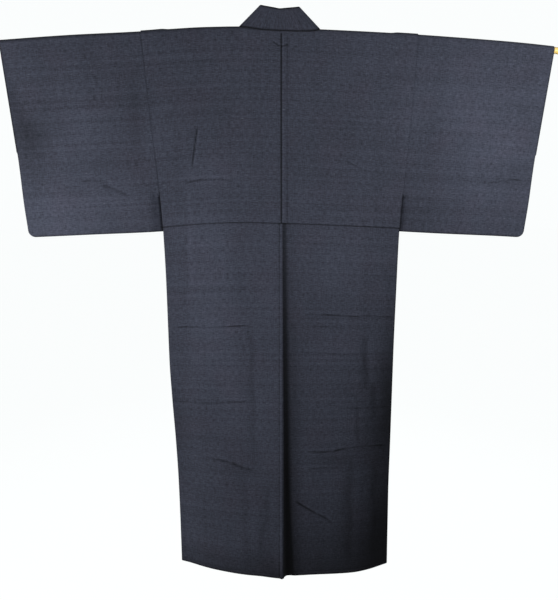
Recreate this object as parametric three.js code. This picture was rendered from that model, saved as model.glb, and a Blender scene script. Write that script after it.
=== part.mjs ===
// A plain kimono hung flat on a rod that runs through both sleeves, seen from the back.
// Millimetres. The origin is on the rod's axis at its middle. +Z is up, and the garment's back faces -Y.
// -X is the wearer's left, which is also on the left when the back is looked at.

import * as THREE from "three";

// Cloth
const CLOTH = 1.6;
const HALF_CLOTH = CLOTH / 2;
const SEAM_GAP = 0.3;
const SEWN_EDGE_TURN = 3;
const SEWN_EDGE_DEPTH = 3.6;
const TUCK_STEP = 1.5;

// Rod
const ROD_RADIUS = 8;
const ROD_SIDES = 12;
const ROD_STATIONS = 26;
const ROD_HALF_LENGTH = 724;
const ROD_CLEARANCE = 0.5;
const ROLL_RADIUS = ROD_RADIUS + ROD_CLEARANCE + HALF_CLOTH;
const ROLL_ROWS = 6;

// Sleeves: the strip hangs from the rod's line and leans in with it
const CUFF_AT_ROD = 690.5;
const CUFF_LEAN_LEFT = 0.0803;
const CUFF_LEAN_RIGHT = 0.0967;
const CUFF_FLARE = 4;
const CUFF_FLARE_LENGTH = 150;
const SLEEVE_SEAM_AT_ROD = 345;
const SLEEVE_DEPTH_INNER = 481.5;
const SLEEVE_DEPTH_CUFF_LOSS = 8;
const SLEEVE_ATTACHED = 391;
const WRIST_OPENING = 266;
const CUFF_CORNER_RADIUS = 17;
const SLIT_GAP = 0.5;
const SEWN_SIDE_INSET = 0.2;
const SEAM_END_EASE = 0.45;

// Body
const BODY_LENGTH = 1461;
const BODY_DROOP_AT = 330;
const TUCK_DEPTH = 470.5;
const TUCK_FADES_OVER = 70;
const BACK_BULGE = 62;
const BULGE_STARTS = 180;
const BULGE_GROWTH = 1.3;
const LEVEL_BACK_TO = 180;
const LEVEL_FRONT_TO = 165;
const ALLOWANCE_LIFT = 1.9;
const ALLOWANCE_FLAT = 50;
const ALLOWANCE_EDGE = 19;
const ALLOWANCE_SETTLES_BY = 60;
const ALLOWANCE_SETTLED = 0.45;
const ALLOWANCE_ENDS_OVER = 40;

// Neck, collar and overlap
const NECK_HALF_WIDTH = 98;
const NECK_SHIFT = 3.5;
const NECK_SHIFT_FADES = 120;
const NECK_CORNER_ROW = 2;
const NECK_CORNER_ANGLE = (Math.PI * NECK_CORNER_ROW) / ROLL_ROWS;
const NECK_ROLL_START = 0.6;
const NECK_EASE = 0.4;
const NECK_SEAM_LIMIT = 0.8;
const COLLAR_WIDTH = 53;
const COLLAR_TILT = 1.6;
const COLLAR_CORNER_X = 48;
const COLLAR_STANDING_IN = 51;
const COLLAR_STANDING_UP = 26;
const COLLAR_FOLDS_OVER_BY = 90;
const COLLAR_SEAM_EASE = 1;
const SLOPE_STEP = 4;
const COLLAR_CLOTH = 1.6;
const OVER_COLLAR_CLOTH = 1;
const OVER_COLLAR_GAP = 0.6;
const COLLAR_CLEARANCE = 1.5;
const COLLAR_END = 745;
const OVER_COLLAR_END = 335;
const OVERLAP_TOP = 236;
const OVERLAP_TIP = 3;
const OVERLAP_EDGE = 90;
const OUTER_FRONT_RISE = 5.7;
const OUTER_RISE_START = 12;
const OUTER_RISE_END = 190;

// Height of the rod's axis along its length: both ends droop, the left arm a little less
const ROD_LINE = [
  { at: -730, z: -37.5 },
  { at: -520, z: -21.3 },
  { at: -345, z: -11.4 },
  { at: -270, z: -5.2 },
  { at: -190, z: -0.2 },
  { at: -100, z: 2 },
  { at: 0, z: 0 },
  { at: 150, z: -4.5 },
  { at: 300, z: -10.6 },
  { at: 450, z: -19 },
  { at: 600, z: -29 },
  { at: 730, z: -41 },
];

// Half widths of the body by depth below the rod: the sleeve seam above 391, the side seam below
const BODY_SIDE = [
  { at: 0, left: 347, right: 343 },
  { at: 200, left: 331, right: 333 },
  { at: 391, left: 315.5, right: 320.5 },
  { at: 515, left: 309, right: 314.5 },
  { at: 625, left: 306.5, right: 313 },
  { at: 845, left: 305, right: 311 },
  { at: 955, left: 301, right: 311 },
  { at: 1075, left: 295, right: 311 },
  { at: 1195, left: 291, right: 310.5 },
  { at: 1320, left: 289.5, right: 312 },
  { at: 1480, left: 289, right: 314.5 },
];

// How the cloth's level lines follow the rod's droop, and how far their side ends are drawn up
const LEVELS = [
  { at: 0, droop: 1, leftLift: 0, rightLift: 0, centre: 0 },
  { at: 471, droop: 1.2, leftLift: 0, rightLift: 0, centre: 0.5 },
  { at: 760, droop: 0.6, leftLift: 0, rightLift: 0, centre: 1.2 },
  { at: 1110, droop: 0.15, leftLift: 6, rightLift: -1, centre: 2 },
  { at: 1461, droop: 0, leftLift: 18, rightLift: -5, centre: 2.5 },
];

// Share of the back's bulge from the centre seam (0) to the side seam (1)
const BULGE_PROFILE = [
  { at: 0, left: 1, right: 1 },
  { at: 0.013, left: 0.99, right: 0.99 },
  { at: 0.045, left: 0.965, right: 0.85 },
  { at: 0.1, left: 0.92, right: 0.8 },
  { at: 0.2, left: 0.82, right: 0.77 },
  { at: 0.35, left: 0.71, right: 0.73 },
  { at: 0.5, left: 0.58, right: 0.7 },
  { at: 0.65, left: 0.42, right: 0.63 },
  { at: 0.8, left: 0.24, right: 0.43 },
  { at: 0.9, left: 0.11, right: 0.23 },
  { at: 1, left: 0, right: 0 },
];

// Height of the back neck seam above the rod's line, from the centre (0) to the shoulder corner (1)
const NECK_RISE = [
  { at: 0, left: 1, right: 1 },
  { at: 0.4, left: 1.5, right: 1.2 },
  { at: 0.65, left: 3.8, right: 2 },
  { at: 0.9, left: 6.8, right: 4.5 },
  { at: 1, left: 7.88, right: 7.88 },
];

// Where the collar is sewn on in front: its distance from the centre by depth below the rod
const COLLAR_LINE = [
  { at: 0, x: 96.6 },
  { at: 40, x: 93.5 },
  { at: 100, x: 85 },
  { at: 170, x: 68 },
  { at: 230, x: 52 },
  { at: 330, x: 25 },
  { at: 450, x: -8 },
  { at: 600, x: -50 },
  { at: 745, x: -90 },
];

// Where the overlap panel is sewn on: its distance from the centre by depth below the rod
const OVERLAP_LINE = [
  { at: 230, x: 52 },
  { at: 1480, x: 62 },
];

// The collar from its back middle to the front, one row for a section across the band.
// base* is the sewn edge and free* the free edge. turn is the base's place round the rod in degrees.
const COLLAR_NECK = [
  { baseX: 0, turn: 0, freeX: 0, freeY: -6.5, freeZ: 51.4 },
  { baseX: 24, turn: 0, freeX: 13, freeY: -6.3, freeZ: 53 },
  { baseX: 46, turn: 0, freeX: 25, freeY: -6, freeZ: 54.6 },
  { baseX: 66, turn: 0, freeX: 35, freeY: -5.4, freeZ: 56 },
  { baseX: 84, turn: 0, freeX: 42, freeY: -4.4, freeZ: 57.2 },
  { baseX: 93.5, turn: 0, freeX: 45.6, freeY: -3.2, freeZ: 58 },
  { baseX: 96.4, turn: 60, freeX: 47.6, freeY: -1, freeZ: 58.4 },
  { baseX: 96.6, turn: 95, freeX: 48, freeY: 2.4, freeZ: 57.8 },
  { baseX: 96.6, turn: 135, freeX: 47.4, freeY: 6.2, freeZ: 53 },
  { baseX: 96.6, turn: 180, freeX: 45.8, freeY: 9.8, freeZ: 40 },
];

// Depths of the rows of cloth, from the hem up to the rod
const ARMHOLE_ROWS = [368, 376, 384];
const SLEEVE_END_ROWS = [371, 379, 387];
const BODY_ROWS = [
  BODY_LENGTH, 1340, 1215, 1090, 965, 845, 735, 630, 550, 500,
  TUCK_DEPTH + 1, TUCK_DEPTH - 1, 430, ...ARMHOLE_ROWS.slice().reverse(), 262, 190, 100, 35,
];
const FRONT_ROWS = [
  35, 100, 190, 262, ...ARMHOLE_ROWS, TUCK_DEPTH - 1, TUCK_DEPTH + 1, 520, 630, 745,
  900, 1090, 1280, BODY_LENGTH,
];
const OVERLAP_ROWS = [
  OVERLAP_TOP + 8, 320, 390, 440, TUCK_DEPTH, 520, 600, 680, COLLAR_END, 900, 1090, 1280, BODY_LENGTH,
];
const OVERLAP_SHARES = [1, 0.66, 0.33, 0];
const NECK_COLUMNS = [SEAM_GAP / 2, 4, 14, 46, 66, 84];
const COLUMN_SHARES = [0.3, 0.58, 0.8, 0.93];
const SLEEVE_ROWS = [35, 100, 190, WRIST_OPENING - 4, WRIST_OPENING + 6, ...SLEEVE_END_ROWS, 430];
const SLEEVE_COLUMN_SHARES = [0.18, 0.42, 0.66, 0.86];
const COLLAR_SHARES = [0, 0.04, 0.35, 0.7, 1];
const COLLAR_FRONT_ROWS = [12, 40, 90, 140, 190, 250, OVER_COLLAR_END, 430, 540, 650, COLLAR_END];
const EDGE_ANGLES = [0, Math.PI / 4, Math.PI / 2, (3 * Math.PI) / 4, Math.PI];
const TURN_ANGLES = [0, Math.PI / 6, Math.PI / 3, Math.PI / 2];

const clamp01 = (value) => Math.min(1, Math.max(0, value));
const mix = (from, to, share) => from + (to - from) * share;
const smooth = (value) => clamp01(value) ** 2 * (3 - 2 * clamp01(value));

/** A column of a table read between its rows on a smooth line that never swings past them. */
function read(table, column, place) {
  const last = table.length - 1;
  if (place <= table[0].at) return table[0][column];
  if (place >= table[last].at) return table[last][column];
  const slope = (i) => (table[i + 1][column] - table[i][column]) / (table[i + 1].at - table[i].at);
  const tangent = (i) => {
    if (i === 0) return slope(0);
    if (i === last) return slope(last - 1);
    const before = slope(i - 1);
    const after = slope(i);
    return before * after <= 0 ? 0 : (2 * before * after) / (before + after);
  };
  const row = table.findIndex((entry, i) => i < last && place <= table[i + 1].at);
  const width = table[row + 1].at - table[row].at;
  const t = (place - table[row].at) / width;
  const rest = 1 - t;
  return (
    table[row][column] * (1 + 2 * t) * rest * rest +
    table[row + 1][column] * (3 - 2 * t) * t * t +
    tangent(row) * width * t * rest * rest -
    tangent(row + 1) * width * rest * t * t
  );
}

/** Distance of the neck opening's edge from the centre on a side: the neck hangs a little to the left. */
const neckHalf = (sign) => NECK_HALF_WIDTH - sign * NECK_SHIFT;

/** Distance from the centre of the seam between the collar and a front, at a depth. */
const collarX = (sign, depth) => (
  read(COLLAR_LINE, "x", depth) - sign * NECK_SHIFT * (1 - smooth(depth / NECK_SHIFT_FADES))
);

/** Height of the rod's axis at x. */
const rodZ = (x) => read(ROD_LINE, "z", x);

/** Half width of the body at a height under the rod's middle, on a side: -1 is left and 1 is right. */
const sideAt = (sign, under) => read(BODY_SIDE, sign < 0 ? "left" : "right", under);

/** Half width of the body along a level line that starts at a depth on the centre seam. */
const sideX = (sign, depth) => (
  sideAt(sign, depth - rodZ(sign * BODY_DROOP_AT) * read(LEVELS, "droop", depth))
);

/** Distance of each wall from the sewn edges' plane, from the rod down to the sleeve's bottom. */
const edgeDepth = (depth) => mix(ROLL_RADIUS, SEWN_EDGE_DEPTH, clamp01(depth / SLEEVE_DEPTH_INNER));

/** The four corners, as [row, column], of each cell of a grid that cloth fills. */
function gridCells(grid) {
  const cells = [];
  for (let i = 0; i + 1 < grid.length; i += 1) {
    for (let j = 0; j + 1 < grid[0].length; j += 1) {
      const corners = [[i, j], [i, j + 1], [i + 1, j + 1], [i + 1, j]];
      if (corners.every(([r, c]) => grid[r][c])) cells.push(corners);
    }
  }
  return cells;
}

/** The direction square to the cloth at each filled point of a grid, by row * columns + column. */
function gridNormals(grid) {
  const normals = new Map();
  for (const corners of gridCells(grid)) {
    const [a, b, c, d] = corners.map(([r, k]) => grid[r][k]);
    const normal = c.clone().sub(a).cross(d.clone().sub(b)).normalize();
    for (const [r, k] of corners) {
      const id = r * grid[0].length + k;
      normals.set(id, (normals.get(id) ?? new THREE.Vector3()).add(normal));
    }
  }
  for (const normal of normals.values()) normal.normalize();
  return normals;
}

/** A closed wall of even thickness round a grid of middle points, null where there is no cloth. */
function clothWall(grid, thickness) {
  const columns = grid[0].length;
  const positions = [];
  const index = new Map();
  for (const [id, normal] of gridNormals(grid)) {
    const middle = grid[Math.floor(id / columns)][id % columns];
    index.set(id, positions.length / 3);
    for (const side of [0.5, -0.5]) {
      positions.push(...middle.clone().addScaledVector(normal, side * thickness).toArray());
    }
  }
  const faces = [];
  const edges = new Map();
  for (const corners of gridCells(grid)) {
    const [a, b, c, d] = corners.map(([r, k]) => index.get(r * columns + k));
    faces.push(a, b, c, a, c, d);
    faces.push(a + 1, c + 1, b + 1, a + 1, d + 1, c + 1);
    for (const [from, to] of [[a, b], [b, c], [c, d], [d, a]]) edges.set(`${from},${to}`, [from, to]);
  }
  for (const [from, to] of edges.values()) {
    if (edges.has(`${to},${from}`)) continue;
    faces.push(to, from, from + 1, to, from + 1, to + 1);
  }
  const geometry = new THREE.BufferGeometry();
  geometry.setAttribute("position", new THREE.Float32BufferAttribute(positions, 3));
  geometry.setIndex(faces);
  geometry.computeVertexNormals();
  return geometry;
}

/** Distances from a sewn edge at which the cloth's turn has its rows, from the edge inwards. */
const turnSteps = () => TURN_ANGLES.map((angle) => SEWN_EDGE_TURN * (1 - Math.cos(angle)));

/** How far a wall's middle stops from the armhole's line, before and past the end of the armhole's seam. */
function edgeInset(depth, [, lastSewnOn, firstFree], extra) {
  if (depth >= firstFree) return HALF_CLOTH + extra;
  return SEAM_GAP / 2 + (depth >= lastSewnOn ? SEAM_END_EASE : 0);
}

/** How far the wall has risen off the seam's plane at a distance from a sewn edge, 0 to 1. */
function turnRise(distance) {
  const cosine = clamp01(1 - distance / SEWN_EDGE_TURN);
  return Math.sqrt(1 - cosine * cosine);
}

/** Height of a body strip's level line at x, where depth is measured at the centre seam. */
function levelZ(sign, x, depth) {
  const across = clamp01((sign * x) / sideX(sign, depth));
  const lift = read(LEVELS, sign < 0 ? "leftLift" : "rightLift", depth) * across * across;
  return rodZ(x) * read(LEVELS, "droop", depth) - depth + lift;
}

/** How far the seam allowance beside the sleeve lifts the body's cloth. */
function allowanceLift(sign, x, depth) {
  const fromSeam = sideX(sign, depth) - sign * x;
  const across = 1 - smooth((fromSeam - ALLOWANCE_FLAT) / ALLOWANCE_EDGE);
  const settled = mix(1, ALLOWANCE_SETTLED, clamp01(depth / ALLOWANCE_SETTLES_BY));
  const ended = smooth((depth - SLEEVE_ATTACHED) / ALLOWANCE_ENDS_OVER);
  return ALLOWANCE_LIFT * across * settled * (1 - ended);
}

/** The step at the waist tuck: the cloth above the line stands proud of the cloth below. */
const tuckStep = (depth) => (
  depth < TUCK_DEPTH ? TUCK_STEP * smooth(1 - (TUCK_DEPTH - depth) / TUCK_FADES_OVER) : 0
);

/** How far a wall of the body stands from the seam plane, before the bulge and the fronts' levels. */
function wallDepth(sign, x, depth, centreDepth, levelTo) {
  const fromSide = sideX(sign, depth) - sign * x;
  const open = edgeDepth(depth) + allowanceLift(sign, x, depth);
  const level = mix(open, centreDepth, smooth(fromSide / (sideX(sign, depth) - levelTo)));
  const sewn = depth >= ARMHOLE_ROWS[2];
  const rise = sewn ? turnRise(fromSide - HALF_CLOTH - SEWN_SIDE_INSET) : 1;
  return mix(SEAM_GAP / 2, level + tuckStep(depth), rise);
}

/** Distance of the back wall from the seam plane at x and depth. */
function backDepth(sign, x, depth) {
  const across = clamp01((sign * x) / sideX(sign, depth));
  const share = read(BULGE_PROFILE, sign < 0 ? "left" : "right", across);
  const growth = clamp01((depth - BULGE_STARTS) / (BODY_LENGTH - BULGE_STARTS)) ** BULGE_GROWTH;
  return wallDepth(sign, x, depth, ROLL_RADIUS, LEVEL_BACK_TO) + BACK_BULGE * growth * share;
}

/** Distance of the front wall from the seam plane. The left front lies outside the right one. */
function frontDepth(sign, x, depth) {
  const ramp = (depth - OUTER_RISE_START) / (OUTER_RISE_END - OUTER_RISE_START);
  const rise = sign < 0 ? OUTER_FRONT_RISE * smooth(ramp) : 0;
  return wallDepth(sign, x, depth, ROLL_RADIUS + rise, LEVEL_FRONT_TO);
}

/** A point of the cloth where it rolls over the rod. turn is 0 at the back and PI at the front. */
function rollPoint(sign, x, turn, radius = ROLL_RADIUS + allowanceLift(sign, x, 0)) {
  return new THREE.Vector3(x, -radius * Math.cos(turn), rodZ(x) + radius * Math.sin(turn));
}

/** The x places of a body strip's columns between an inner edge and the side. */
function bodyColumns(sign, inner, depth) {
  const edge = sideX(sign, depth) - edgeInset(depth, ARMHOLE_ROWS, SEWN_SIDE_INSET);
  const steps = turnSteps().reverse();
  const shares = COLUMN_SHARES.map((share) => mix(inner, edge - SEWN_EDGE_TURN, share));
  return [inner, ...shares, ...steps.map((step) => edge - step)].map((x) => sign * x);
}

/** The x places of the back's columns between the centre seam and the neck corner. */
function neckColumns(sign, depth) {
  const centre = read(LEVELS, "centre", depth);
  const scale = neckHalf(sign) / NECK_HALF_WIDTH;
  return NECK_COLUMNS.map((x) => sign * x * scale + centre * (1 - x / NECK_HALF_WIDTH));
}

/** One body strip, from the back hem over the rod to the front hem. */
function bodyGrid(sign) {
  const grid = [];
  const empty = NECK_COLUMNS.map(() => null);
  const columnName = sign < 0 ? "left" : "right";
  for (const depth of BODY_ROWS) {
    const xs = [...neckColumns(sign, depth), ...bodyColumns(sign, neckHalf(sign), depth)];
    grid.push(xs.map((x) => new THREE.Vector3(x, -backDepth(sign, x, depth), levelZ(sign, x, depth))));
  }
  for (let i = 0; i <= ROLL_ROWS; i += 1) {
    const turn = (Math.PI * i) / ROLL_ROWS;
    const over = bodyColumns(sign, neckHalf(sign), 0).map((x) => rollPoint(sign, x, turn));
    const beside = i > NECK_CORNER_ROW ? empty : neckColumns(sign, 0).map((x) => {
      const rise = read(NECK_RISE, columnName, (sign * x) / neckHalf(sign)) / ROLL_RADIUS;
      const topTurn = Math.asin(rise) - NECK_EASE / ROLL_RADIUS;
      const share = (i / NECK_CORNER_ROW + NECK_ROLL_START) / (1 + NECK_ROLL_START);
      return rollPoint(sign, x, mix(-NECK_ROLL_START, topTurn, share), ROLL_RADIUS + NECK_EASE);
    });
    grid.push([...beside, ...over]);
  }
  for (const depth of FRONT_ROWS) {
    const inner = depth < OVERLAP_TOP ? collarX(sign, depth) : read(OVERLAP_LINE, "x", depth);
    const clear = inner + SEAM_GAP + (depth < OVERLAP_TOP ? COLLAR_SEAM_EASE : 0);
    const xs = bodyColumns(sign, clear, depth);
    const points = xs.map((x) => new THREE.Vector3(x, frontDepth(sign, x, depth), levelZ(sign, x, depth)));
    grid.push([...empty, ...points]);
  }
  return sign > 0 ? grid.map((row) => row.reverse()) : grid;
}

/** The overlap panel in front, from the point where it meets the collar down to the hem. */
function overlapGrid(sign) {
  const grid = OVERLAP_ROWS.map((depth) => {
    const seam = read(OVERLAP_LINE, "x", depth) - SEAM_GAP;
    const edge = depth < COLLAR_END ? collarX(sign, depth) + SEAM_GAP + COLLAR_SEAM_EASE : -OVERLAP_EDGE;
    const inner = Math.min(edge, seam - OVERLAP_TIP);
    return OVERLAP_SHARES.map((share) => {
      const x = sign * mix(inner, seam, share);
      return new THREE.Vector3(x, frontDepth(sign, x, depth), levelZ(1, 0, depth));
    });
  });
  return sign > 0 ? grid : grid.map((row) => row.reverse());
}

/** Distances and sewn rises of a sleeve's grid lines: rounds the lower cuff corner of the outline. */
function roundCorner(fromCuff, fromBottom) {
  const across = CUFF_CORNER_RADIUS - fromCuff;
  const down = CUFF_CORNER_RADIUS - fromBottom;
  if (across <= 0 || down <= 0) return [fromCuff, fromBottom];
  const share = Math.max(across, down) / Math.hypot(across, down);
  return [CUFF_CORNER_RADIUS - across * share, CUFF_CORNER_RADIUS - down * share];
}

/** A sleeve: one strip folded over the rod, sewn along the bottom, the lower cuff and the free inner edge. */
function sleeveGrid(sign) {
  const cuffLean = sign < 0 ? CUFF_LEAN_LEFT : CUFF_LEAN_RIGHT;
  const bottom = SLEEVE_DEPTH_INNER - HALF_CLOTH;
  const edgeSteps = turnSteps();
  const cuffSteps = [...edgeSteps, CUFF_CORNER_RADIUS / 2, CUFF_CORNER_RADIUS];
  const bottomRows = [CUFF_CORNER_RADIUS, CUFF_CORNER_RADIUS / 2, ...edgeSteps.slice().reverse()];

  // One point of the sleeve: fromInner and fromCuff are distances from its two upright edges
  const place = (wall, depth, column, turn) => {
    let fromBottom = bottom - depth;
    const sewnInner = depth >= SLEEVE_END_ROWS[2];
    const innerGap = edgeInset(depth, SLEEVE_END_ROWS, SLIT_GAP);
    const innerAt = (down) => sideAt(sign, down - rodZ(sign * SLEEVE_SEAM_AT_ROD)) + innerGap;
    const width = CUFF_AT_ROD - innerAt(0);
    const sewnCuff = depth > WRIST_OPENING;
    let fromCuff = column.fromCuff ?? Infinity;
    let rise = 1;
    if (sewnInner && column.fromInner !== undefined) rise = Math.min(rise, turnRise(column.fromInner));
    if (sewnCuff) rise = Math.min(rise, turnRise(fromCuff));
    rise = Math.min(rise, turnRise(fromBottom));
    if (sewnCuff && column.fromCuff !== undefined) [fromCuff, fromBottom] = roundCorner(fromCuff, fromBottom);
    const down = bottom - fromBottom;
    const inner = innerAt(down);
    const flare = CUFF_FLARE * smooth((down - WRIST_OPENING) / CUFF_FLARE_LENGTH);
    const cuff = CUFF_AT_ROD - cuffLean * down + flare;
    let x = mix(inner + SEWN_EDGE_TURN, cuff - CUFF_CORNER_RADIUS, column.share ?? 0);
    if (column.fromInner !== undefined) x = inner + column.fromInner;
    if (column.fromCuff !== undefined) x = cuff - fromCuff;
    const share = clamp01((x - inner) / (cuff - inner));
    const top = sign * (innerAt(0) + width * share);
    if (turn !== undefined) return rollPoint(sign, top, turn, ROLL_RADIUS);
    const loss = SLEEVE_DEPTH_CUFF_LOSS * share * share * (down / bottom);
    const y = mix(SEAM_GAP / 2, edgeDepth(depth), rise);
    return new THREE.Vector3(sign * x, wall * y, rodZ(top) - (down - loss));
  };

  const columns = [
    ...edgeSteps.map((step) => ({ fromInner: step })),
    ...SLEEVE_COLUMN_SHARES.map((share) => ({ share })),
    ...cuffSteps.slice().reverse().map((step) => ({ fromCuff: step })),
  ];
  const down = [...SLEEVE_ROWS, ...bottomRows.map((step) => bottom - step)];
  const grid = [];
  for (const depth of down.slice().reverse()) grid.push(columns.map((column) => place(-1, depth, column)));
  for (let i = 0; i <= ROLL_ROWS; i += 1) {
    grid.push(columns.map((column) => place(-1, 0, column, (Math.PI * i) / ROLL_ROWS)));
  }
  for (const depth of down) grid.push(columns.map((column) => place(1, depth, column)));
  return sign > 0 ? grid.map((row) => row.reverse()) : grid;
}

/** The collar's sections on one side, from the back middle to its end in front. */
function collarSections(sign) {
  const radius = ROLL_RADIUS + COLLAR_CLEARANCE;
  const columnName = sign < 0 ? "left" : "right";
  const sections = COLLAR_NECK.map((row) => {
    const x = (sign * row.baseX * neckHalf(sign)) / NECK_HALF_WIDTH;
    let turn = (row.turn * Math.PI) / 180;
    if (row.turn === 0) {
      turn = Math.asin(read(NECK_RISE, columnName, row.baseX / NECK_HALF_WIDTH) / ROLL_RADIUS);
      turn = Math.min(turn, NECK_CORNER_ANGLE * NECK_SEAM_LIMIT);
    }
    const base = rollPoint(sign, x, turn, radius);
    const tilt = (-sign * COLLAR_TILT * row.freeX) / COLLAR_CORNER_X;
    const free = new THREE.Vector3(sign * row.freeX - NECK_SHIFT, row.freeY, row.freeZ + tilt);
    return { base, free };
  });
  for (const depth of COLLAR_FRONT_ROWS) {
    const x = collarX(sign, depth);
    const level = Math.min(depth, COLLAR_END - SLOPE_STEP);
    const slope = (collarX(sign, level + SLOPE_STEP) - collarX(sign, level - SLOPE_STEP)) / (2 * SLOPE_STEP);
    const along = new THREE.Vector2(slope, -1).normalize();
    const y = frontDepth(sign, sign * x, depth) + COLLAR_CLEARANCE;
    const base = new THREE.Vector3(sign * x, y, levelZ(1, 0, depth));
    const settle = smooth(depth / COLLAR_FOLDS_OVER_BY);
    const freeX = x + COLLAR_WIDTH * along.y * settle - COLLAR_STANDING_IN * (1 - settle);
    const freeZ = base.z - COLLAR_WIDTH * along.x * settle + COLLAR_STANDING_UP * (1 - settle);
    const free = new THREE.Vector3(sign * freeX, frontDepth(sign, sign * freeX, Math.max(0, -freeZ)), freeZ);
    free.y = Math.max(free.y, y - COLLAR_CLEARANCE) + COLLAR_CLEARANCE;
    sections.push({ base, free });
  }
  return sections;
}

/** All sections of the collar, from the end of the left front round the neck to the end of the right. */
function wholeCollar() {
  const left = collarSections(-1).slice(1).reverse();
  return [...left, ...collarSections(1)];
}

/** The collar band as a grid across its width. */
function collarGrid(sections) {
  return sections.map(({ base, free }) => COLLAR_SHARES.map((share) => base.clone().lerp(free, share)));
}

/** The over-collar, wrapped round the collar's free edge from close to the seam on both faces. */
function overCollarGrid(sections) {
  const band = collarGrid(sections);
  const normals = gridNormals(band);
  const offset = COLLAR_CLOTH / 2 + OVER_COLLAR_GAP + OVER_COLLAR_CLOTH / 2;
  const last = COLLAR_SHARES.length - 1;
  return band.map((points, i) => {
    const normal = (k) => normals.get(i * points.length + k);
    const before = band[Math.max(0, i - 1)][last];
    const after = band[Math.min(band.length - 1, i + 1)][last];
    const outward = after.clone().sub(before).cross(normal(last)).normalize();
    if (outward.dot(points[last].clone().sub(points[0])) < 0) outward.negate();
    const centre = points[last].clone().addScaledVector(outward, -COLLAR_CLOTH / 2);
    const face = (side) => points.slice(1, last)
      .map((point, k) => point.clone().addScaledVector(normal(k + 1), side * offset));
    const edge = EDGE_ANGLES.map((angle) => (
      centre.clone()
        .addScaledVector(normal(last), offset * Math.cos(angle))
        .addScaledVector(outward, offset * Math.sin(angle))
    ));
    return [...face(1), ...edge, ...face(-1).reverse()];
  });
}

/** The rod: a many-sided bar along its line, with a flat face at each end. */
function rodGeometry() {
  const positions = [];
  const faces = [];
  for (let i = 0; i <= ROD_STATIONS; i += 1) {
    const x = mix(-ROD_HALF_LENGTH, ROD_HALF_LENGTH, i / ROD_STATIONS);
    const slope = Math.atan2(rodZ(x + 1) - rodZ(x - 1), 2);
    for (let k = 0; k < ROD_SIDES; k += 1) {
      const angle = (2 * Math.PI * k) / ROD_SIDES;
      const up = ROD_RADIUS * Math.sin(angle);
      positions.push(x - up * Math.sin(slope), ROD_RADIUS * Math.cos(angle), rodZ(x) + up * Math.cos(slope));
    }
  }
  const corner = (i, k) => i * ROD_SIDES + (k % ROD_SIDES);
  for (let i = 0; i < ROD_STATIONS; i += 1) {
    for (let k = 0; k < ROD_SIDES; k += 1) {
      faces.push(corner(i, k), corner(i, k + 1), corner(i + 1, k + 1));
      faces.push(corner(i, k), corner(i + 1, k + 1), corner(i + 1, k));
    }
  }
  for (let k = 1; k + 1 < ROD_SIDES; k += 1) {
    faces.push(corner(0, 0), corner(0, k + 1), corner(0, k));
    faces.push(corner(ROD_STATIONS, 0), corner(ROD_STATIONS, k), corner(ROD_STATIONS, k + 1));
  }
  const geometry = new THREE.BufferGeometry();
  geometry.setAttribute("position", new THREE.Float32BufferAttribute(positions, 3));
  geometry.setIndex(faces);
  geometry.computeVertexNormals();
  return geometry;
}

/** Adds one named piece to the garment. */
function addPiece(group, name, geometry, finish) {
  const mesh = new THREE.Mesh(geometry, new THREE.MeshStandardMaterial(finish));
  mesh.name = name;
  group.add(mesh);
}

const DARK_CLOTH = { color: 0x3a3e4a, roughness: 0.92, metalness: 0 };
const PALE_WOOD = { color: 0xe8c078, roughness: 0.55, metalness: 0 };
const kimono = new THREE.Group();
kimono.name = "kimono_on_rod";

for (const [side, sign] of [["left", -1], ["right", 1]]) {
  addPiece(kimono, `body_${side}`, clothWall(bodyGrid(sign), CLOTH), DARK_CLOTH);
  addPiece(kimono, `okumi_${side}`, clothWall(overlapGrid(sign), CLOTH), DARK_CLOTH);
  addPiece(kimono, `sleeve_${side}`, clothWall(sleeveGrid(sign), CLOTH), DARK_CLOTH);
}
const sections = wholeCollar();
const covered = COLLAR_FRONT_ROWS.length - 1 - COLLAR_FRONT_ROWS.indexOf(OVER_COLLAR_END);
addPiece(kimono, "collar", clothWall(collarGrid(sections), COLLAR_CLOTH), DARK_CLOTH);
const wrapped = overCollarGrid(sections).slice(covered, sections.length - covered);
addPiece(kimono, "over_collar", clothWall(wrapped, OVER_COLLAR_CLOTH), DARK_CLOTH);
addPiece(kimono, "rod", rodGeometry(), PALE_WOOD);

export default kimono;
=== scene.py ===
"""A plain dark kimono hung flat on a rod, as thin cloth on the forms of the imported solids.

The garment's own sizes are in millimetres, as a sewer would state them, and a mesh is in metres. The origin
is on the rod's axis at its middle. +Z is up, the garment's back faces -Y and -X is the wearer's left.
"""

import logging
import math
from dataclasses import dataclass, field
from enum import Enum
from typing import Sequence

import bmesh
import bpy
import numpy as np
from mathutils import Matrix, Vector


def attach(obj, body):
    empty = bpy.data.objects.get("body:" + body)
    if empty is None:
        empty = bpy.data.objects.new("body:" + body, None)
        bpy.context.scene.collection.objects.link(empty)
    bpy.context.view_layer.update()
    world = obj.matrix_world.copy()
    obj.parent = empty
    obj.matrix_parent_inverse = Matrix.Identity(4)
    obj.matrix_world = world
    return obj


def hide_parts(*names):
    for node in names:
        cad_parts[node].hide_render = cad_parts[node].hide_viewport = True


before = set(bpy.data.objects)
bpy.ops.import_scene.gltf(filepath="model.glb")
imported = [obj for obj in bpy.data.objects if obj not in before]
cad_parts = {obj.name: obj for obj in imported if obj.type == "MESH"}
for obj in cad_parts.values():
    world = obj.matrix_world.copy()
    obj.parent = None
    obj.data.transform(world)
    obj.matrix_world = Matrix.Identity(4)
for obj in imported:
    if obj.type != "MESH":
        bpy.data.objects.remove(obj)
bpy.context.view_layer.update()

MM = 0.001
ROOT = "root"
TINY = 1e-9
TURN_ANGLES = (90, 70, 50, 30, 15, 0)

log = logging.getLogger("kimono")

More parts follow.
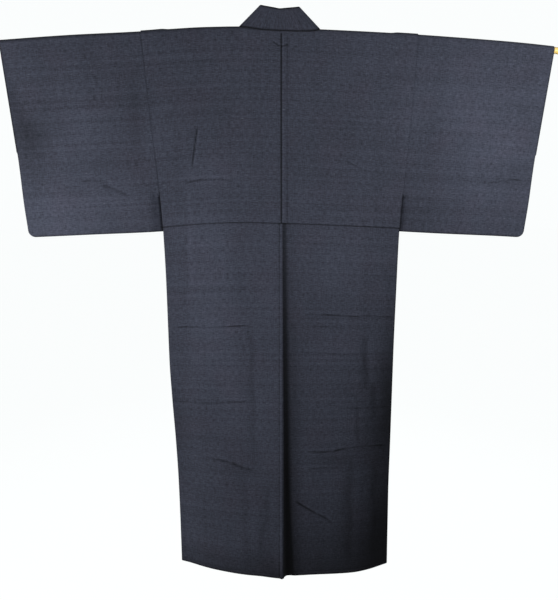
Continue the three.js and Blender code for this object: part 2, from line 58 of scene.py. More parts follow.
Array = np.ndarray
Pair = tuple[float, float]
Triple = tuple[float, float, float]
Object = bpy.types.Object
Tree = bpy.types.NodeTree
NodeSocket = bpy.types.NodeSocket
Sockets = bpy.types.bpy_prop_collection


class Side(Enum):
    """The wearer's side, as the sign of its X."""

    LEFT = -1
    RIGHT = 1


class Wall(Enum):
    """The two walls of a flat hung garment, as the sign of their Y."""

    BACK = -1
    FRONT = 1


@dataclass(frozen=True)
class Curve:
    """Values at a few places, read on a smooth line that never swings past them."""

    rows: tuple[Pair, ...]

    def at(self, place: Array | float) -> Array:
        """Reads the line.

        Args:
            place: where to read, in the unit of the rows' first column.

        Returns:
            The values there, held at the first and last row's beyond them.
        """
        places, values = np.array(self.rows, float).T
        steps = np.diff(places)
        slopes = np.diff(values) / steps
        before, after = slopes[:-1], slopes[1:]
        same_way = before * after > 0
        total = np.where(same_way, before + after, 1)
        inner = np.where(same_way, 2 * before * after / total, 0)
        tangents = np.concatenate((slopes[:1], inner, slopes[-1:]))
        spot = np.clip(place, places[0], places[-1])
        row = np.clip(np.searchsorted(places, spot, side="left") - 1, 0, len(steps) - 1)
        t = (spot - places[row]) / steps[row]
        rest = 1 - t
        return (
            values[row] * (1 + 2 * t) * rest**2
            + values[row + 1] * (3 - 2 * t) * t**2
            + tangents[row] * steps[row] * t * rest**2
            - tangents[row + 1] * steps[row] * rest * t**2
        )


def mix(start: Array | float, end: Array | float, share: Array | float) -> Array:
    """Returns the value at a share of the way from start to end."""
    return start + (end - start) * share


def ease(value: Array | float) -> Array:
    """Returns a soft step from 0 to 1."""
    value = np.clip(value, 0, 1)
    return value**2 * (3 - 2 * value)


def bell(value: Array | float, middle: Array | float, width: Array | float) -> Array:
    """Returns a soft bump from 0 to 1 and back, round a middle."""
    return np.exp(-(((value - middle) / width) ** 2))


def stations(start: float, stop: float, step: float, fine: Sequence[float] = (),
             fine_step: float = 1.0, reach: float = 6.0) -> Array:
    """Chooses places along a line, closer together round its finer forms.

    Args:
        start: the first place.
        stop: the last place, beyond the first.
        step: the usual spacing.
        fine: places of the finer forms.
        fine_step: the spacing round them.
        reach: how far the fine spacing goes on each side of them.

    Returns:
        The places in order.
    """
    count = max(1, math.ceil((stop - start) / step))
    places = list(np.linspace(start, stop, count + 1))
    for middle in fine:
        places = [p for p in places if abs(p - middle) > reach or p in (start, stop)]
        places += list(np.arange(middle - reach, middle + reach + fine_step / 2, fine_step))
    kept = sorted(p for p in places if start <= p <= stop)
    out = [kept[0]]
    for place in kept[1:]:
        if place - out[-1] > fine_step / 3:
            out.append(place)
    out[-1] = stop
    return np.array(out)


@dataclass(frozen=True)
class Cut:
    """The garment's driving dimensions in millimetres, and the surfaces that its pieces lie on."""

    wall: float = 1.6
    seam_gap: float = 0.3
    rod_radius: float = 8.0
    roll_radius: float = 9.3
    edge_turn: float = 3.0
    edge_depth: float = 3.6
    side_inset: float = 0.2
    cuff_at_rod: float = 690.5
    cuff_lean: dict[Side, float] = field(default_factory=lambda: {Side.LEFT: 0.0803, Side.RIGHT: 0.0967})
    cuff_flare: float = 4.0
    cuff_flare_length: float = 150.0
    cuff_corner: float = 17.0
    sleeve_seam_at_rod: float = 345.0
    sleeve_depth: float = 481.5
    sleeve_cuff_loss: float = 8.0
    sleeve_sewn: float = 391.0
    wrist_opening: float = 266.0
    slit_gap: float = 0.5
    body_length: float = 1461.0
    body_droop_at: float = 330.0
    tuck_depth: float = 470.5
    tuck_step: float = 1.5
    tuck_fades_over: float = 70.0
    back_bulge: float = 62.0
    bulge_starts: float = 180.0
    bulge_growth: float = 1.3
    level_back_to: float = 180.0
    level_front_to: float = 165.0
    allowance_lift: float = 1.9
    allowance_flat: float = 50.0
    allowance_edge: float = 19.0
    allowance_settled: float = 0.45
    allowance_settles_by: float = 60.0
    allowance_ends_over: float = 40.0
    body_free_above: float = 7.0
    sleeve_free_above: float = 4.0
    neck_half: float = 98.0
    neck_shift: float = 3.5
    neck_shift_fades: float = 120.0
    neck_corner: float = math.pi / 3
    neck_roll_start: float = 0.6
    neck_ease: float = 0.4
    collar_width: float = 53.0
    collar_clearance: float = 1.5
    collar_room: float = 1.0
    collar_end: float = 745.0
    over_collar_end: float = 335.0
    overlap_top: float = 236.0
    overlap_tip: float = 3.0
    overlap_edge: float = 90.0
    outer_rise: float = 5.7
    outer_rise_start: float = 12.0
    outer_rise_end: float = 190.0
    rod_line: Curve = Curve((
        (-730, -37.5), (-520, -21.3), (-345, -11.4), (-270, -5.2), (-190, -0.2), (-100, 2),
        (0, 0), (150, -4.5), (300, -10.6), (450, -19), (600, -29), (730, -41),
    ))
    side_line: dict[Side, Curve] = field(default_factory=lambda: {
        Side.LEFT: Curve((
            (0, 347), (200, 331), (391, 315.5), (515, 309), (625, 306.5), (845, 305),
            (955, 301), (1075, 295), (1195, 291), (1320, 289.5), (1480, 289),
        )),
        Side.RIGHT: Curve((
            (0, 343), (200, 333), (391, 320.5), (515, 314.5), (625, 313), (845, 311),
            (955, 311), (1075, 311), (1195, 310.5), (1320, 312), (1480, 314.5),
        )),
    })
    droop: Curve = Curve(((0, 1), (471, 1.2), (760, 0.6), (1110, 0.15), (1461, 0)))
    lift: dict[Side, Curve] = field(default_factory=lambda: {
        Side.LEFT: Curve(((0, 0), (471, 0), (760, 0), (1110, 6), (1461, 18))),
        Side.RIGHT: Curve(((0, 0), (471, 0), (760, 0), (1110, -1), (1461, -5))),
    })
    seam_line: Curve = Curve(((0, 0), (471, 0.5), (760, 1.2), (1110, 2), (1461, 2.5)))
    bulge: dict[Side, Curve] = field(default_factory=lambda: {
        Side.LEFT: Curve((
            (0, 1), (0.013, 0.99), (0.045, 0.965), (0.1, 0.92), (0.2, 0.82), (0.35, 0.71),
            (0.5, 0.58), (0.65, 0.42), (0.8, 0.24), (0.9, 0.11), (1, 0),
        )),
        Side.RIGHT: Curve((
            (0, 1), (0.013, 0.99), (0.045, 0.85), (0.1, 0.8), (0.2, 0.77), (0.35, 0.73),
            (0.5, 0.7), (0.65, 0.63), (0.8, 0.43), (0.9, 0.23), (1, 0),
        )),
    })
    neck_rise: dict[Side, Curve] = field(default_factory=lambda: {
        Side.LEFT: Curve(((0, 1), (0.4, 1.5), (0.65, 3.8), (0.9, 6.8), (1, 7.88))),
        Side.RIGHT: Curve(((0, 1), (0.4, 1.2), (0.65, 2), (0.9, 4.5), (1, 7.88))),
    })
    collar_line: Curve = Curve((
        (0, 96.6), (40, 93.5), (100, 85), (170, 68), (230, 52), (330, 25), (450, -8), (600, -50), (745, -90),
    ))
    overlap_line: Curve = Curve(((230, 52), (1480, 62)))
    hem_turn: float = 12.0
    # painted shade along the top of the cloth where it rolls over the rod
    crest_painted_shade: float = 0.8
    crest_spread: float = 1.5

    def rod_z(self, x: Array | float) -> Array:
        """Returns the height of the rod's axis at x."""
        return self.rod_line.at(x)

    def side_at(self, side: Side, under: Array | float) -> Array:
        """Returns the body's half width at a height under the rod's middle."""
        return self.side_line[side].at(under)

    def side_x(self, side: Side, depth: Array | float) -> Array:
        """Returns the body's half width along the level line that starts at a depth on the centre seam."""
        droop = self.rod_z(side.value * self.body_droop_at) * self.droop.at(depth)
        return self.side_at(side, depth - droop)

    def edge_gap(self, depth: Array | float) -> Array:
        """Returns how far each wall stands from the plane of the sewn edges."""
        return mix(self.roll_radius, self.edge_depth, np.clip(np.divide(depth, self.sleeve_depth), 0, 1))

    def turn_rise(self, distance: Array | float) -> Array:
        """Returns how far a wall has risen off the seams' plane at a distance from a sewn edge, 0 to 1."""
        cosine = np.clip(1 - distance / self.edge_turn, 0, 1)
        return np.sqrt(1 - cosine**2)

    @property
    def roll_length(self) -> float:
        """Returns the length of cloth that lies over the rod."""
        return math.pi * self.roll_radius

    def level_z(self, side: Side, x: Array | float, depth: Array | float) -> Array:
        """Finds the height of a body strip's level line, which droops with the rod and lifts at the hem.

        Args:
            side: the strip's side.
            x: the places across.
            depth: the line's depth on the centre seam.

        Returns:
            The heights in millimetres.
        """
        across = np.clip(side.value * x / self.side_x(side, depth), 0, 1)
        lift = self.lift[side].at(depth) * across**2
        return self.rod_z(x) * self.droop.at(depth) - depth + lift

    def allowance(self, side: Side, x: Array | float, depth: Array | float) -> Array:
        """Finds how far the folded seam allowance beside the sleeve lifts the body's cloth.

        Args:
            side: the strip's side.
            x: the places across.
            depth: the depths below the rod.

        Returns:
            The lifts in millimetres.
        """
        from_seam = self.side_x(side, depth) - side.value * x
        across = 1 - ease((from_seam - self.allowance_flat) / self.allowance_edge)
        settled = mix(1, self.allowance_settled, np.clip(np.divide(depth, self.allowance_settles_by), 0, 1))
        end = 1 - ease((depth - self.sleeve_sewn) / self.allowance_ends_over)
        return self.allowance_lift * across * settled * end

    def wall_gap(self, side: Side, x: Array, depth: Array, centre: Array | float, level_to: float) -> Array:
        """Finds how far a body wall stands from the seams' plane before its bulge.

        Args:
            side: the strip's side.
            x: the places across.
            depth: the depths below the rod.
            centre: the distance of the wall near the garment's middle.
            level_to: half the width over which the wall has that distance.

        Returns:
            The distances in millimetres.
        """
        from_side = self.side_x(side, depth) - side.value * x
        open_gap = self.edge_gap(depth) + self.allowance(side, x, depth)
        level = mix(open_gap, centre, ease(from_side / (self.side_x(side, depth) - level_to)))
        step = np.where(depth < self.tuck_depth,
                        self.tuck_step * ease(1 - (self.tuck_depth - depth) / self.tuck_fades_over), 0)
        rise = np.where(depth >= self.sleeve_sewn - self.body_free_above,
                        self.turn_rise(from_side - self.wall / 2 - self.side_inset), 1)
        return mix(self.seam_gap / 2, level + step, rise)

    def back_gap(self, side: Side, x: Array, depth: Array) -> Array:
        """Finds how far the back wall stands from the seams' plane, with its bulge towards the hem.

        Args:
            side: the strip's side.
            x: the places across.
            depth: the depths below the rod.

        Returns:
            The distances in millimetres.
        """
        across = np.clip(side.value * x / self.side_x(side, depth), 0, 1)
        share = np.clip((depth - self.bulge_starts) / (self.body_length - self.bulge_starts), 0, 1)
        swell = self.back_bulge * share**self.bulge_growth * self.bulge[side].at(across)
        return self.wall_gap(side, x, depth, self.roll_radius, self.level_back_to) + swell

    def front_gap(self, side: Side, x: Array, depth: Array) -> Array:
        """Finds how far the front wall stands from the seams' plane: the left front lies outside.

        Args:
            side: the strip's side.
            x: the places across.
            depth: the depths below the rod.

        Returns:
            The distances in millimetres.
        """
        ramp = ease((depth - self.outer_rise_start) / (self.outer_rise_end - self.outer_rise_start))
        rise = self.outer_rise * ramp if side is Side.LEFT else 0
        return self.wall_gap(side, x, depth, self.roll_radius + rise, self.level_front_to)

    def neck_at(self, side: Side) -> float:
        """Returns the distance of the neck opening's corner from the centre."""
        return self.neck_half - side.value * self.neck_shift

    def collar_x(self, side: Side, depth: Array | float) -> Array:
        """Returns the distance from the centre of the seam between the collar and a front."""
        shift = self.neck_shift * (1 - ease(np.divide(depth, self.neck_shift_fades)))
        return self.collar_line.at(depth) - side.value * shift

    def roll_painted_shade(self, turn: Array) -> Array:
        """Returns the painted shade on the cloth where it rolls over the rod: darkest on its crest."""
        return self.crest_painted_shade * np.abs(np.sin(turn)) ** self.crest_spread

    def roll(self, x: Array, turn: Array, radius: Array | float) -> Array:
        """Returns points of cloth where it rolls over the rod: turn is 0 at the back and pi in front."""
        x, turn, radius = np.broadcast_arrays(x, turn, radius)
        return np.stack((x, -radius * np.cos(turn), self.rod_z(x) + radius * np.sin(turn)), axis=-1)


@dataclass
class Sheet:
    """A grid of cloth: its points in space, its flat cut, and the painted shade at each point, which is
    painted light where negative.
    """

    points: Array
    flat: Array
    shade: Array

    def cells(self) -> Array:
        """Returns whether each cell of the grid is filled with cloth."""
        solid = np.isfinite(self.points[..., 0])
        return solid[:-1, :-1] & solid[1:, :-1] & solid[:-1, 1:] & solid[1:, 1:]

    def mirrored(self) -> "Sheet":
        """Returns the sheet with its columns in the other order, so that its other face is the outer one."""
        return Sheet(self.points[:, ::-1], self.flat[:, ::-1], self.shade[:, ::-1])

    @staticmethod
    def joined(parts: Sequence["Sheet"]) -> "Sheet":
        """Returns one sheet of several that follow each other row by row."""
        names = ("points", "flat", "shade")
        return Sheet(*(np.concatenate([getattr(part, name) for part in parts]) for name in names))

    def normals(self) -> Array:
        """Finds the direction square to the cloth at each point.

        Returns:
            Unit vectors that point out of the side that shows.
        """
        points = self.points
        cross = np.cross(points[1:, 1:] - points[:-1, :-1], points[1:, :-1] - points[:-1, 1:])
        total = np.zeros_like(points)
        filled = np.where(self.cells()[..., None], cross, 0)
        for rows in (slice(None, -1), slice(1, None)):
            for columns in (slice(None, -1), slice(1, None)):
                total[rows, columns] += filled
        return total / np.maximum(np.linalg.norm(total, axis=-1, keepdims=True), TINY)


@dataclass(frozen=True)
class PaintedLine:
    """A soft dark line painted into the cloth's colour at an offset from an edge or seam, or a light one
    where dark is negative: painted shade and painted light along folds, grooves and edges.
    """

    dark: float
    width: float
    offset: float = 0.0

    def shade(self, away: Array) -> Array:
        """Returns the line's painted shade at each distance from its edge."""
        return self.dark * bell(away, self.offset, self.width)


@dataclass(frozen=True)
class Crease:
    """One soft trough or ridge in the cloth, along a bowed line, with painted shade along it.

    Places are millimetres across from the centre seam and down from the rod's line. A positive height is a
    ridge, and shade is how much painted shade lies along the trough. bow is how far the middle of the line is
    moved down, breaks is the share of its strength that it loses where it fades along its length, and lip is
    how much painted light lies on the cloth above it.
    """

    start: Pair
    end: Pair
    width: float = 3.0
    height: float = -0.8
    shade: float = 0.5
    bow: float = 0.0
    breaks: float = 0.45
    lip: float = 0.25
    wander: float = 1.1
    wander_length: float = 23.0
    beat_length: float = 13.0
    dark_width: float = 0.85
    lip_place: float = -1.7
    fade_beyond: float = 0.06
    fade_length: float = 0.22

    def is_level(self) -> bool:
        """Returns whether the crease runs more across than down."""
        return abs(self.end[0] - self.start[0]) > abs(self.end[1] - self.start[1])

    def relief(self, x: Array, depth: Array) -> tuple[Array, Array]:
        """Measures the crease's form on the cloth.

        Args:
            x: places across.
            depth: depths below the rod.

        Returns:
            How far the cloth is raised, and the painted shade along the crease.
        """
        start, end = np.array(self.start), np.array(self.end)
        along = end - start
        length = np.linalg.norm(along)
        along = along / length
        away_x, away_z = x - start[0], depth - start[1]
        run = (away_x * along[0] + away_z * along[1]) / length
        off = away_z * along[0] - away_x * along[1]
        phase = start[0] + start[1]
        part = np.clip(run, 0, 1)
        bowed = 4 * self.bow * part * (1 - part)
        off = off - bowed - self.wander * np.sin(run * length / self.wander_length + phase)
        fade_in = ease((run + self.fade_beyond) / self.fade_length)
        fade_out = ease((1 + self.fade_beyond - run) / self.fade_length)
        beat = 0.5 + 0.5 * np.sin(run * length / self.beat_length + phase)
        strength = fade_in * fade_out * (1 - self.breaks * beat)
        # painted light on the cloth above the trough, and painted shade along it
        lip = self.lip * bell(off, self.lip_place * self.width, self.width)
        dark = bell(off, 0, self.dark_width * self.width) - lip
        return self.height * bell(off, 0, self.width) * strength, self.shade * dark * strength


@dataclass(frozen=True)
class PaintedShadePatch:
    """A broad soft patch of painted shade where the cloth turns away from the light, or of painted light
    where dark is negative.

    Places are millimetres across from the centre seam and down from the rod's line.
    """

    middle: Pair
    reach: Pair
    dark: float

    def shade(self, x: Array, depth: Array) -> Array:
        """Returns the patch's painted shade at each place."""
        return self.dark * bell(x, self.middle[0], self.reach[0]) * bell(depth, self.middle[1], self.reach[1])


@dataclass(frozen=True)
class Waves:
    """Slow uneven waves all over hung cloth, of odd lengths across and down, so that no pattern repeats.

    A bend is how far the wave is pushed to and fro, in radians, and the length over which that happens.
    """

    patch_lengths: Pair = (31.0, 57.0)
    patch_bend: Pair = (0.8, 140.0)
    patch_phase: float = 1.3
    slant_strength: float = 0.8
    slant_lengths: Pair = (19.0, 83.0)
    slant_phase: float = 2.1
    level_strength: float = 0.6
    level_length: float = 26.0
    level_bend: Pair = (0.6, 45.0)

    def at(self, x: Array, depth: Array) -> Array:
        """Sums the waves.

        Args:
            x: places across.
            depth: depths below the rod.

        Returns:
            Their heights, as shares of the height of the main wave.
        """
        across, down = self.patch_lengths
        bend, bend_length = self.patch_bend
        patches = np.sin(x / across + bend * np.sin(depth / bend_length))
        patches = patches * np.sin(depth / down + self.patch_phase)
        across, down = self.slant_lengths
        slanting = np.sin(x / across + depth / down + self.slant_phase)
        bend, bend_length = self.level_bend
        level = np.sin(depth / self.level_length + bend * np.sin(x / bend_length))
        return patches + self.slant_strength * slanting + self.level_strength * level


@dataclass(frozen=True)
class Drape:
    """The creases, slow waves and broad patches of painted shade and painted light of one wall of a piece."""

    creases: tuple[Crease, ...]
    wave: float = 0.35
    painted_patches: tuple[PaintedShadePatch, ...] = ()
    waves: Waves = Waves()

    def relief(self, x: Array, depth: Array) -> tuple[Array, Array]:
        """Sums the wall's forms.

        Args:
            x: places across.
            depth: depths below the rod.

        Returns:
            How far the cloth is raised, and its painted shade, which is painted light where negative.
        """
        height = self.wave * self.waves.at(x, depth)
        shade = np.zeros_like(height)
        for crease in self.creases:
            more, dark = crease.relief(x, depth)
            height = height + more
            shade = shade + dark
        keep = 1 - shade
        for tone in self.painted_patches:
            keep = keep * (1 - tone.shade(x, depth))
        return height, 1 - keep


@dataclass(frozen=True)
class ClothForm:
    """How a grid of cloth becomes a thin shell."""

    thickness: float = 0.9

    def make(self, name: str, sheet: Sheet) -> Object:
        """Builds a closed thin shell round a sheet.

        Args:
            name: the piece's name.
            sheet: its grid.

        Returns:
            The object, with its UV map in metres of flat cloth and its fold attribute, which holds the
            sheet's painted shade.
        """
        rows, columns = sheet.points.shape[:2]
        number = np.arange(rows * columns).reshape(rows, columns)
        cells = sheet.cells()
        corners = (number[:-1, :-1], number[:-1, 1:], number[1:, 1:], number[1:, :-1])
        corners = np.stack(corners, axis=-1)[cells]
        used, compact = np.unique(corners, return_inverse=True)
        compact = compact.reshape(corners.shape)
        mesh = bpy.data.meshes.new(name)
        mesh.from_pydata((sheet.points.reshape(-1, 3)[used] * MM).tolist(), [], compact.tolist())
        layer = mesh.uv_layers.new(name="cloth")
        layer.data.foreach_set("uv", (sheet.flat.reshape(-1, 2)[used][compact.ravel()] * MM).ravel())
        # the fold attribute carries the painted shade, painted light where negative, into the cloth's colour
        fold = mesh.attributes.new("fold", "FLOAT", "POINT")
        fold.data.foreach_set("value", sheet.shade.ravel()[used].astype(np.float32))
        shell = bpy.data.objects.new(name, mesh)
        bpy.context.scene.collection.objects.link(shell)
        thicken = shell.modifiers.new("thickness", "SOLIDIFY")
        thicken.thickness = self.thickness * MM
        thicken.offset = 0
        thicken.use_rim = True
        apply_modifiers(shell)
        shell.data.polygons.foreach_set("use_smooth", [True] * len(shell.data.polygons))
        return shell


def select_only(obj: Object) -> None:
    """Selects one object alone and makes it active.

    Args:
        obj: the object.
    """
    bpy.ops.object.select_all(action="DESELECT")
    obj.select_set(True)
    bpy.context.view_layer.objects.active = obj


def apply_modifiers(obj: Object) -> None:
    """Applies all of an object's modifiers in order.

    Args:
        obj: the object.
    """
    select_only(obj)
    for modifier in list(obj.modifiers):
        bpy.ops.object.modifier_apply(modifier=modifier.name)


@dataclass(frozen=True)
class CentreSeam:
    """The cloth beside the centre back seam.

    Above the tuck the seam is a fine groove, with the allowance's edge under the right strip. Below it the
    seam stands up as a ridge, and a hollow beside it grows deeper and wider down to the hem. Its darkness is
    painted shade in the groove, along the allowance's edge, at the ridge's foot and in and beyond the hollow,
    with painted light on the ridge and beside the groove. Places are distances from the seam, and most pairs
    hold a value at the tuck and one at the hem.
    """

    cut: Cut
    side: Side
    tuck_blend: float = 4.0
    groove_height: float = -0.8
    groove_width: float = 1.4
    left_groove: PaintedLine = PaintedLine(0.93, 2.3)
    right_groove: PaintedLine = PaintedLine(0.93, 2.0)
    ridge_light: PaintedLine = PaintedLine(-0.2, 1.6)
    left_ridge_rise: Pair = (0.7, 2.2)
    left_ridge_place: float = 2.0
    left_ridge_width: float = 4.0
    foot_place: Pair = (5.6, 9.4)
    foot_dark: float = 0.5
    foot_width: float = 1.4
    allowance_rise: float = 0.9
    allowance_edge: float = 13.0
    allowance_slope: float = 3.0
    allowance_line: PaintedLine = PaintedLine(1.0, 1.6, 14.6)
    allowance_dark: Pair = (0.16, 0.34)
    allowance_darkens_from: float = 330.0
    allowance_darkens_over: float = 120.0
    beside_light: PaintedLine = PaintedLine(-0.2, 1.8, 4.4)
    hollow_start: Pair = (1.6, 3.0)
    hollow_edge: float = 2.0
    hollow_flat_to: Pair = (8.0, 16.0)
    hollow_slope: Pair = (10.0, 21.0)
    hollow_height: Pair = (-0.8, -4.0)
    hollow_dark: Pair = (0.5, 0.93)
    hollow_darkening: float = 0.6
    right_ridge_rise: float = 0.7
    right_ridge_width: float = 2.0
    tail_dark: Pair = (0.12, 0.5)
    tail_edge: float = 3.0
    tail_flat_to: float = 6.0
    tail_slope: Pair = (38.0, 70.0)
    under_drop: float = 1.2
    under_width: float = 0.9

    def drop(self, off: Array) -> Array:
        """Returns how far the right strip's edge lies under the left one's, at distances past the seam."""
        return self.under_drop * ease(-off / self.under_width)

    def left_relief(self, off: Array, growth: Array, below: Array) -> tuple[Array, Array]:
        """Shapes the left strip beside the seam.

        Args:
            off: distances from the seam.
            growth: the share of the way from the tuck to the hem.
            below: 0 above the tuck and 1 below it.

        Returns:
            Its rise and its painted shade.
        """
        groove = self.groove_height * bell(off, 0, self.groove_width)
        ridge = mix(*self.left_ridge_rise, growth) * bell(off, self.left_ridge_place, self.left_ridge_width)
        foot = self.foot_dark * bell(off, mix(*self.foot_place, growth), self.foot_width)
        shade = mix(self.left_groove.shade(off), foot + self.ridge_light.shade(off), below)
        return mix(groove, ridge, below), shade

    def right_relief(self, off: Array, growth: Array, below: Array, depth: Array) -> tuple[Array, Array]:
        """Shapes the right strip beside the seam.

        Args:
            off: distances from the seam.
            growth: the share of the way from the tuck to the hem.
            below: 0 above the tuck and 1 below it.
            depth: depths below the rod.

        Returns:
            Its rise and its painted shade.
        """
        groove = self.groove_height * bell(off, 0, self.groove_width)
        allowance = self.allowance_rise * (1 - ease((off - self.allowance_edge) / self.allowance_slope))
        starts = ease((off - mix(*self.hollow_start, growth)) / self.hollow_edge)
        past = off - mix(*self.hollow_flat_to, growth)
        hollow = starts * (1 - ease(past / mix(*self.hollow_slope, growth)))
        ridge = self.right_ridge_rise * bell(off, 0, self.right_ridge_width)
        height = mix(allowance + groove, mix(*self.hollow_height, growth) * hollow + ridge, below)
        low = ease((depth - self.allowance_darkens_from) / self.allowance_darkens_over)
        edge = mix(*self.allowance_dark, low) * self.allowance_line.shade(off)
        above = self.right_groove.shade(off) + self.beside_light.shade(off) + edge
        dark = mix(*self.hollow_dark, growth**self.hollow_darkening)
        shade = mix(above, dark * hollow + self.ridge_light.shade(off), below)
        tail = mix(*self.tail_dark, growth) * ease(off / self.tail_edge)
        tail = tail * (1 - ease((off - self.tail_flat_to) / mix(*self.tail_slope, growth)))
        return height - self.drop(off), 1 - (1 - shade) * (1 - tail * below)

    def relief(self, x: Array, depth: Array) -> tuple[Array, Array]:
        """Shapes the cloth beside the seam.

        Args:
            x: places across.
            depth: depths below the rod.

        Returns:
            Its rise and its painted shade.
        """
        cut = self.cut
        off = self.side.value * (x - cut.seam_line.at(depth))
        below = ease((depth - cut.tuck_depth + 1) / self.tuck_blend)
        growth = np.clip((depth - cut.tuck_depth) / (cut.body_length - cut.tuck_depth), 0, 1)
        if self.side is Side.LEFT:
            return self.left_relief(off, growth, below)
        return self.right_relief(off, growth, below, depth)


@dataclass(frozen=True)
class BodyEdgeShade:
    """The lines of painted shade along a body strip's side seam, sleeve seam, tuck and hem, the painted light
    above the tuck, and a faint dark line where the hem is turned up.
    """

    cut: Cut
    side: Side
    sewn_fade: float = 10.0
    seam_width: float = 1.6
    seam_dark: dict[Side, Pair] = field(default_factory=lambda: {
        Side.LEFT: (0.1, 0.52), Side.RIGHT: (0.0, 0.16),
    })
    side_line: PaintedLine = PaintedLine(0.65, 2.6)
    tuck_line: PaintedLine = PaintedLine(0.8, 1.7, 1.0)
    tuck_margin: float = 0.6
    lip_line: PaintedLine = PaintedLine(-0.08, 2.2, -3.4)
    hem_line: PaintedLine = PaintedLine(0.5, 2.5)
    hem_turn_line: PaintedLine = PaintedLine(0.12, 1.4)
    # a faint dark line along the top of the turned-up hem, on its row of stitches

    def shade(self, x: Array, depth: Array) -> Array:
        """Sums the lines.

        Args:
            x: places across.
            depth: depths below the rod.

        Returns:
            The painted shade, which is painted light where negative.
        """
        cut = self.cut
        from_side = cut.side_x(self.side, depth) - self.side.value * x
        sewn = 1 - ease((depth - cut.sleeve_sewn + self.sewn_fade) / self.sewn_fade)
        ends = 0.5 + 0.5 * np.cos(2 * math.pi * np.clip(depth / cut.sleeve_sewn, 0, 1))
        seam = mix(*self.seam_dark[self.side], ends) * bell(from_side, 0, self.seam_width)
        side = mix(self.side_line.shade(from_side), seam, sewn)
        below_tuck, below_hem = depth - cut.tuck_depth, depth - cut.body_length
        tuck = self.tuck_line.shade(below_tuck) * (below_tuck > -self.tuck_margin)
        lip = self.lip_line.shade(below_tuck)
        hem = self.hem_line.shade(below_hem) + self.hem_turn_line.shade(below_hem + cut.hem_turn)
        return side + tuck + lip + hem


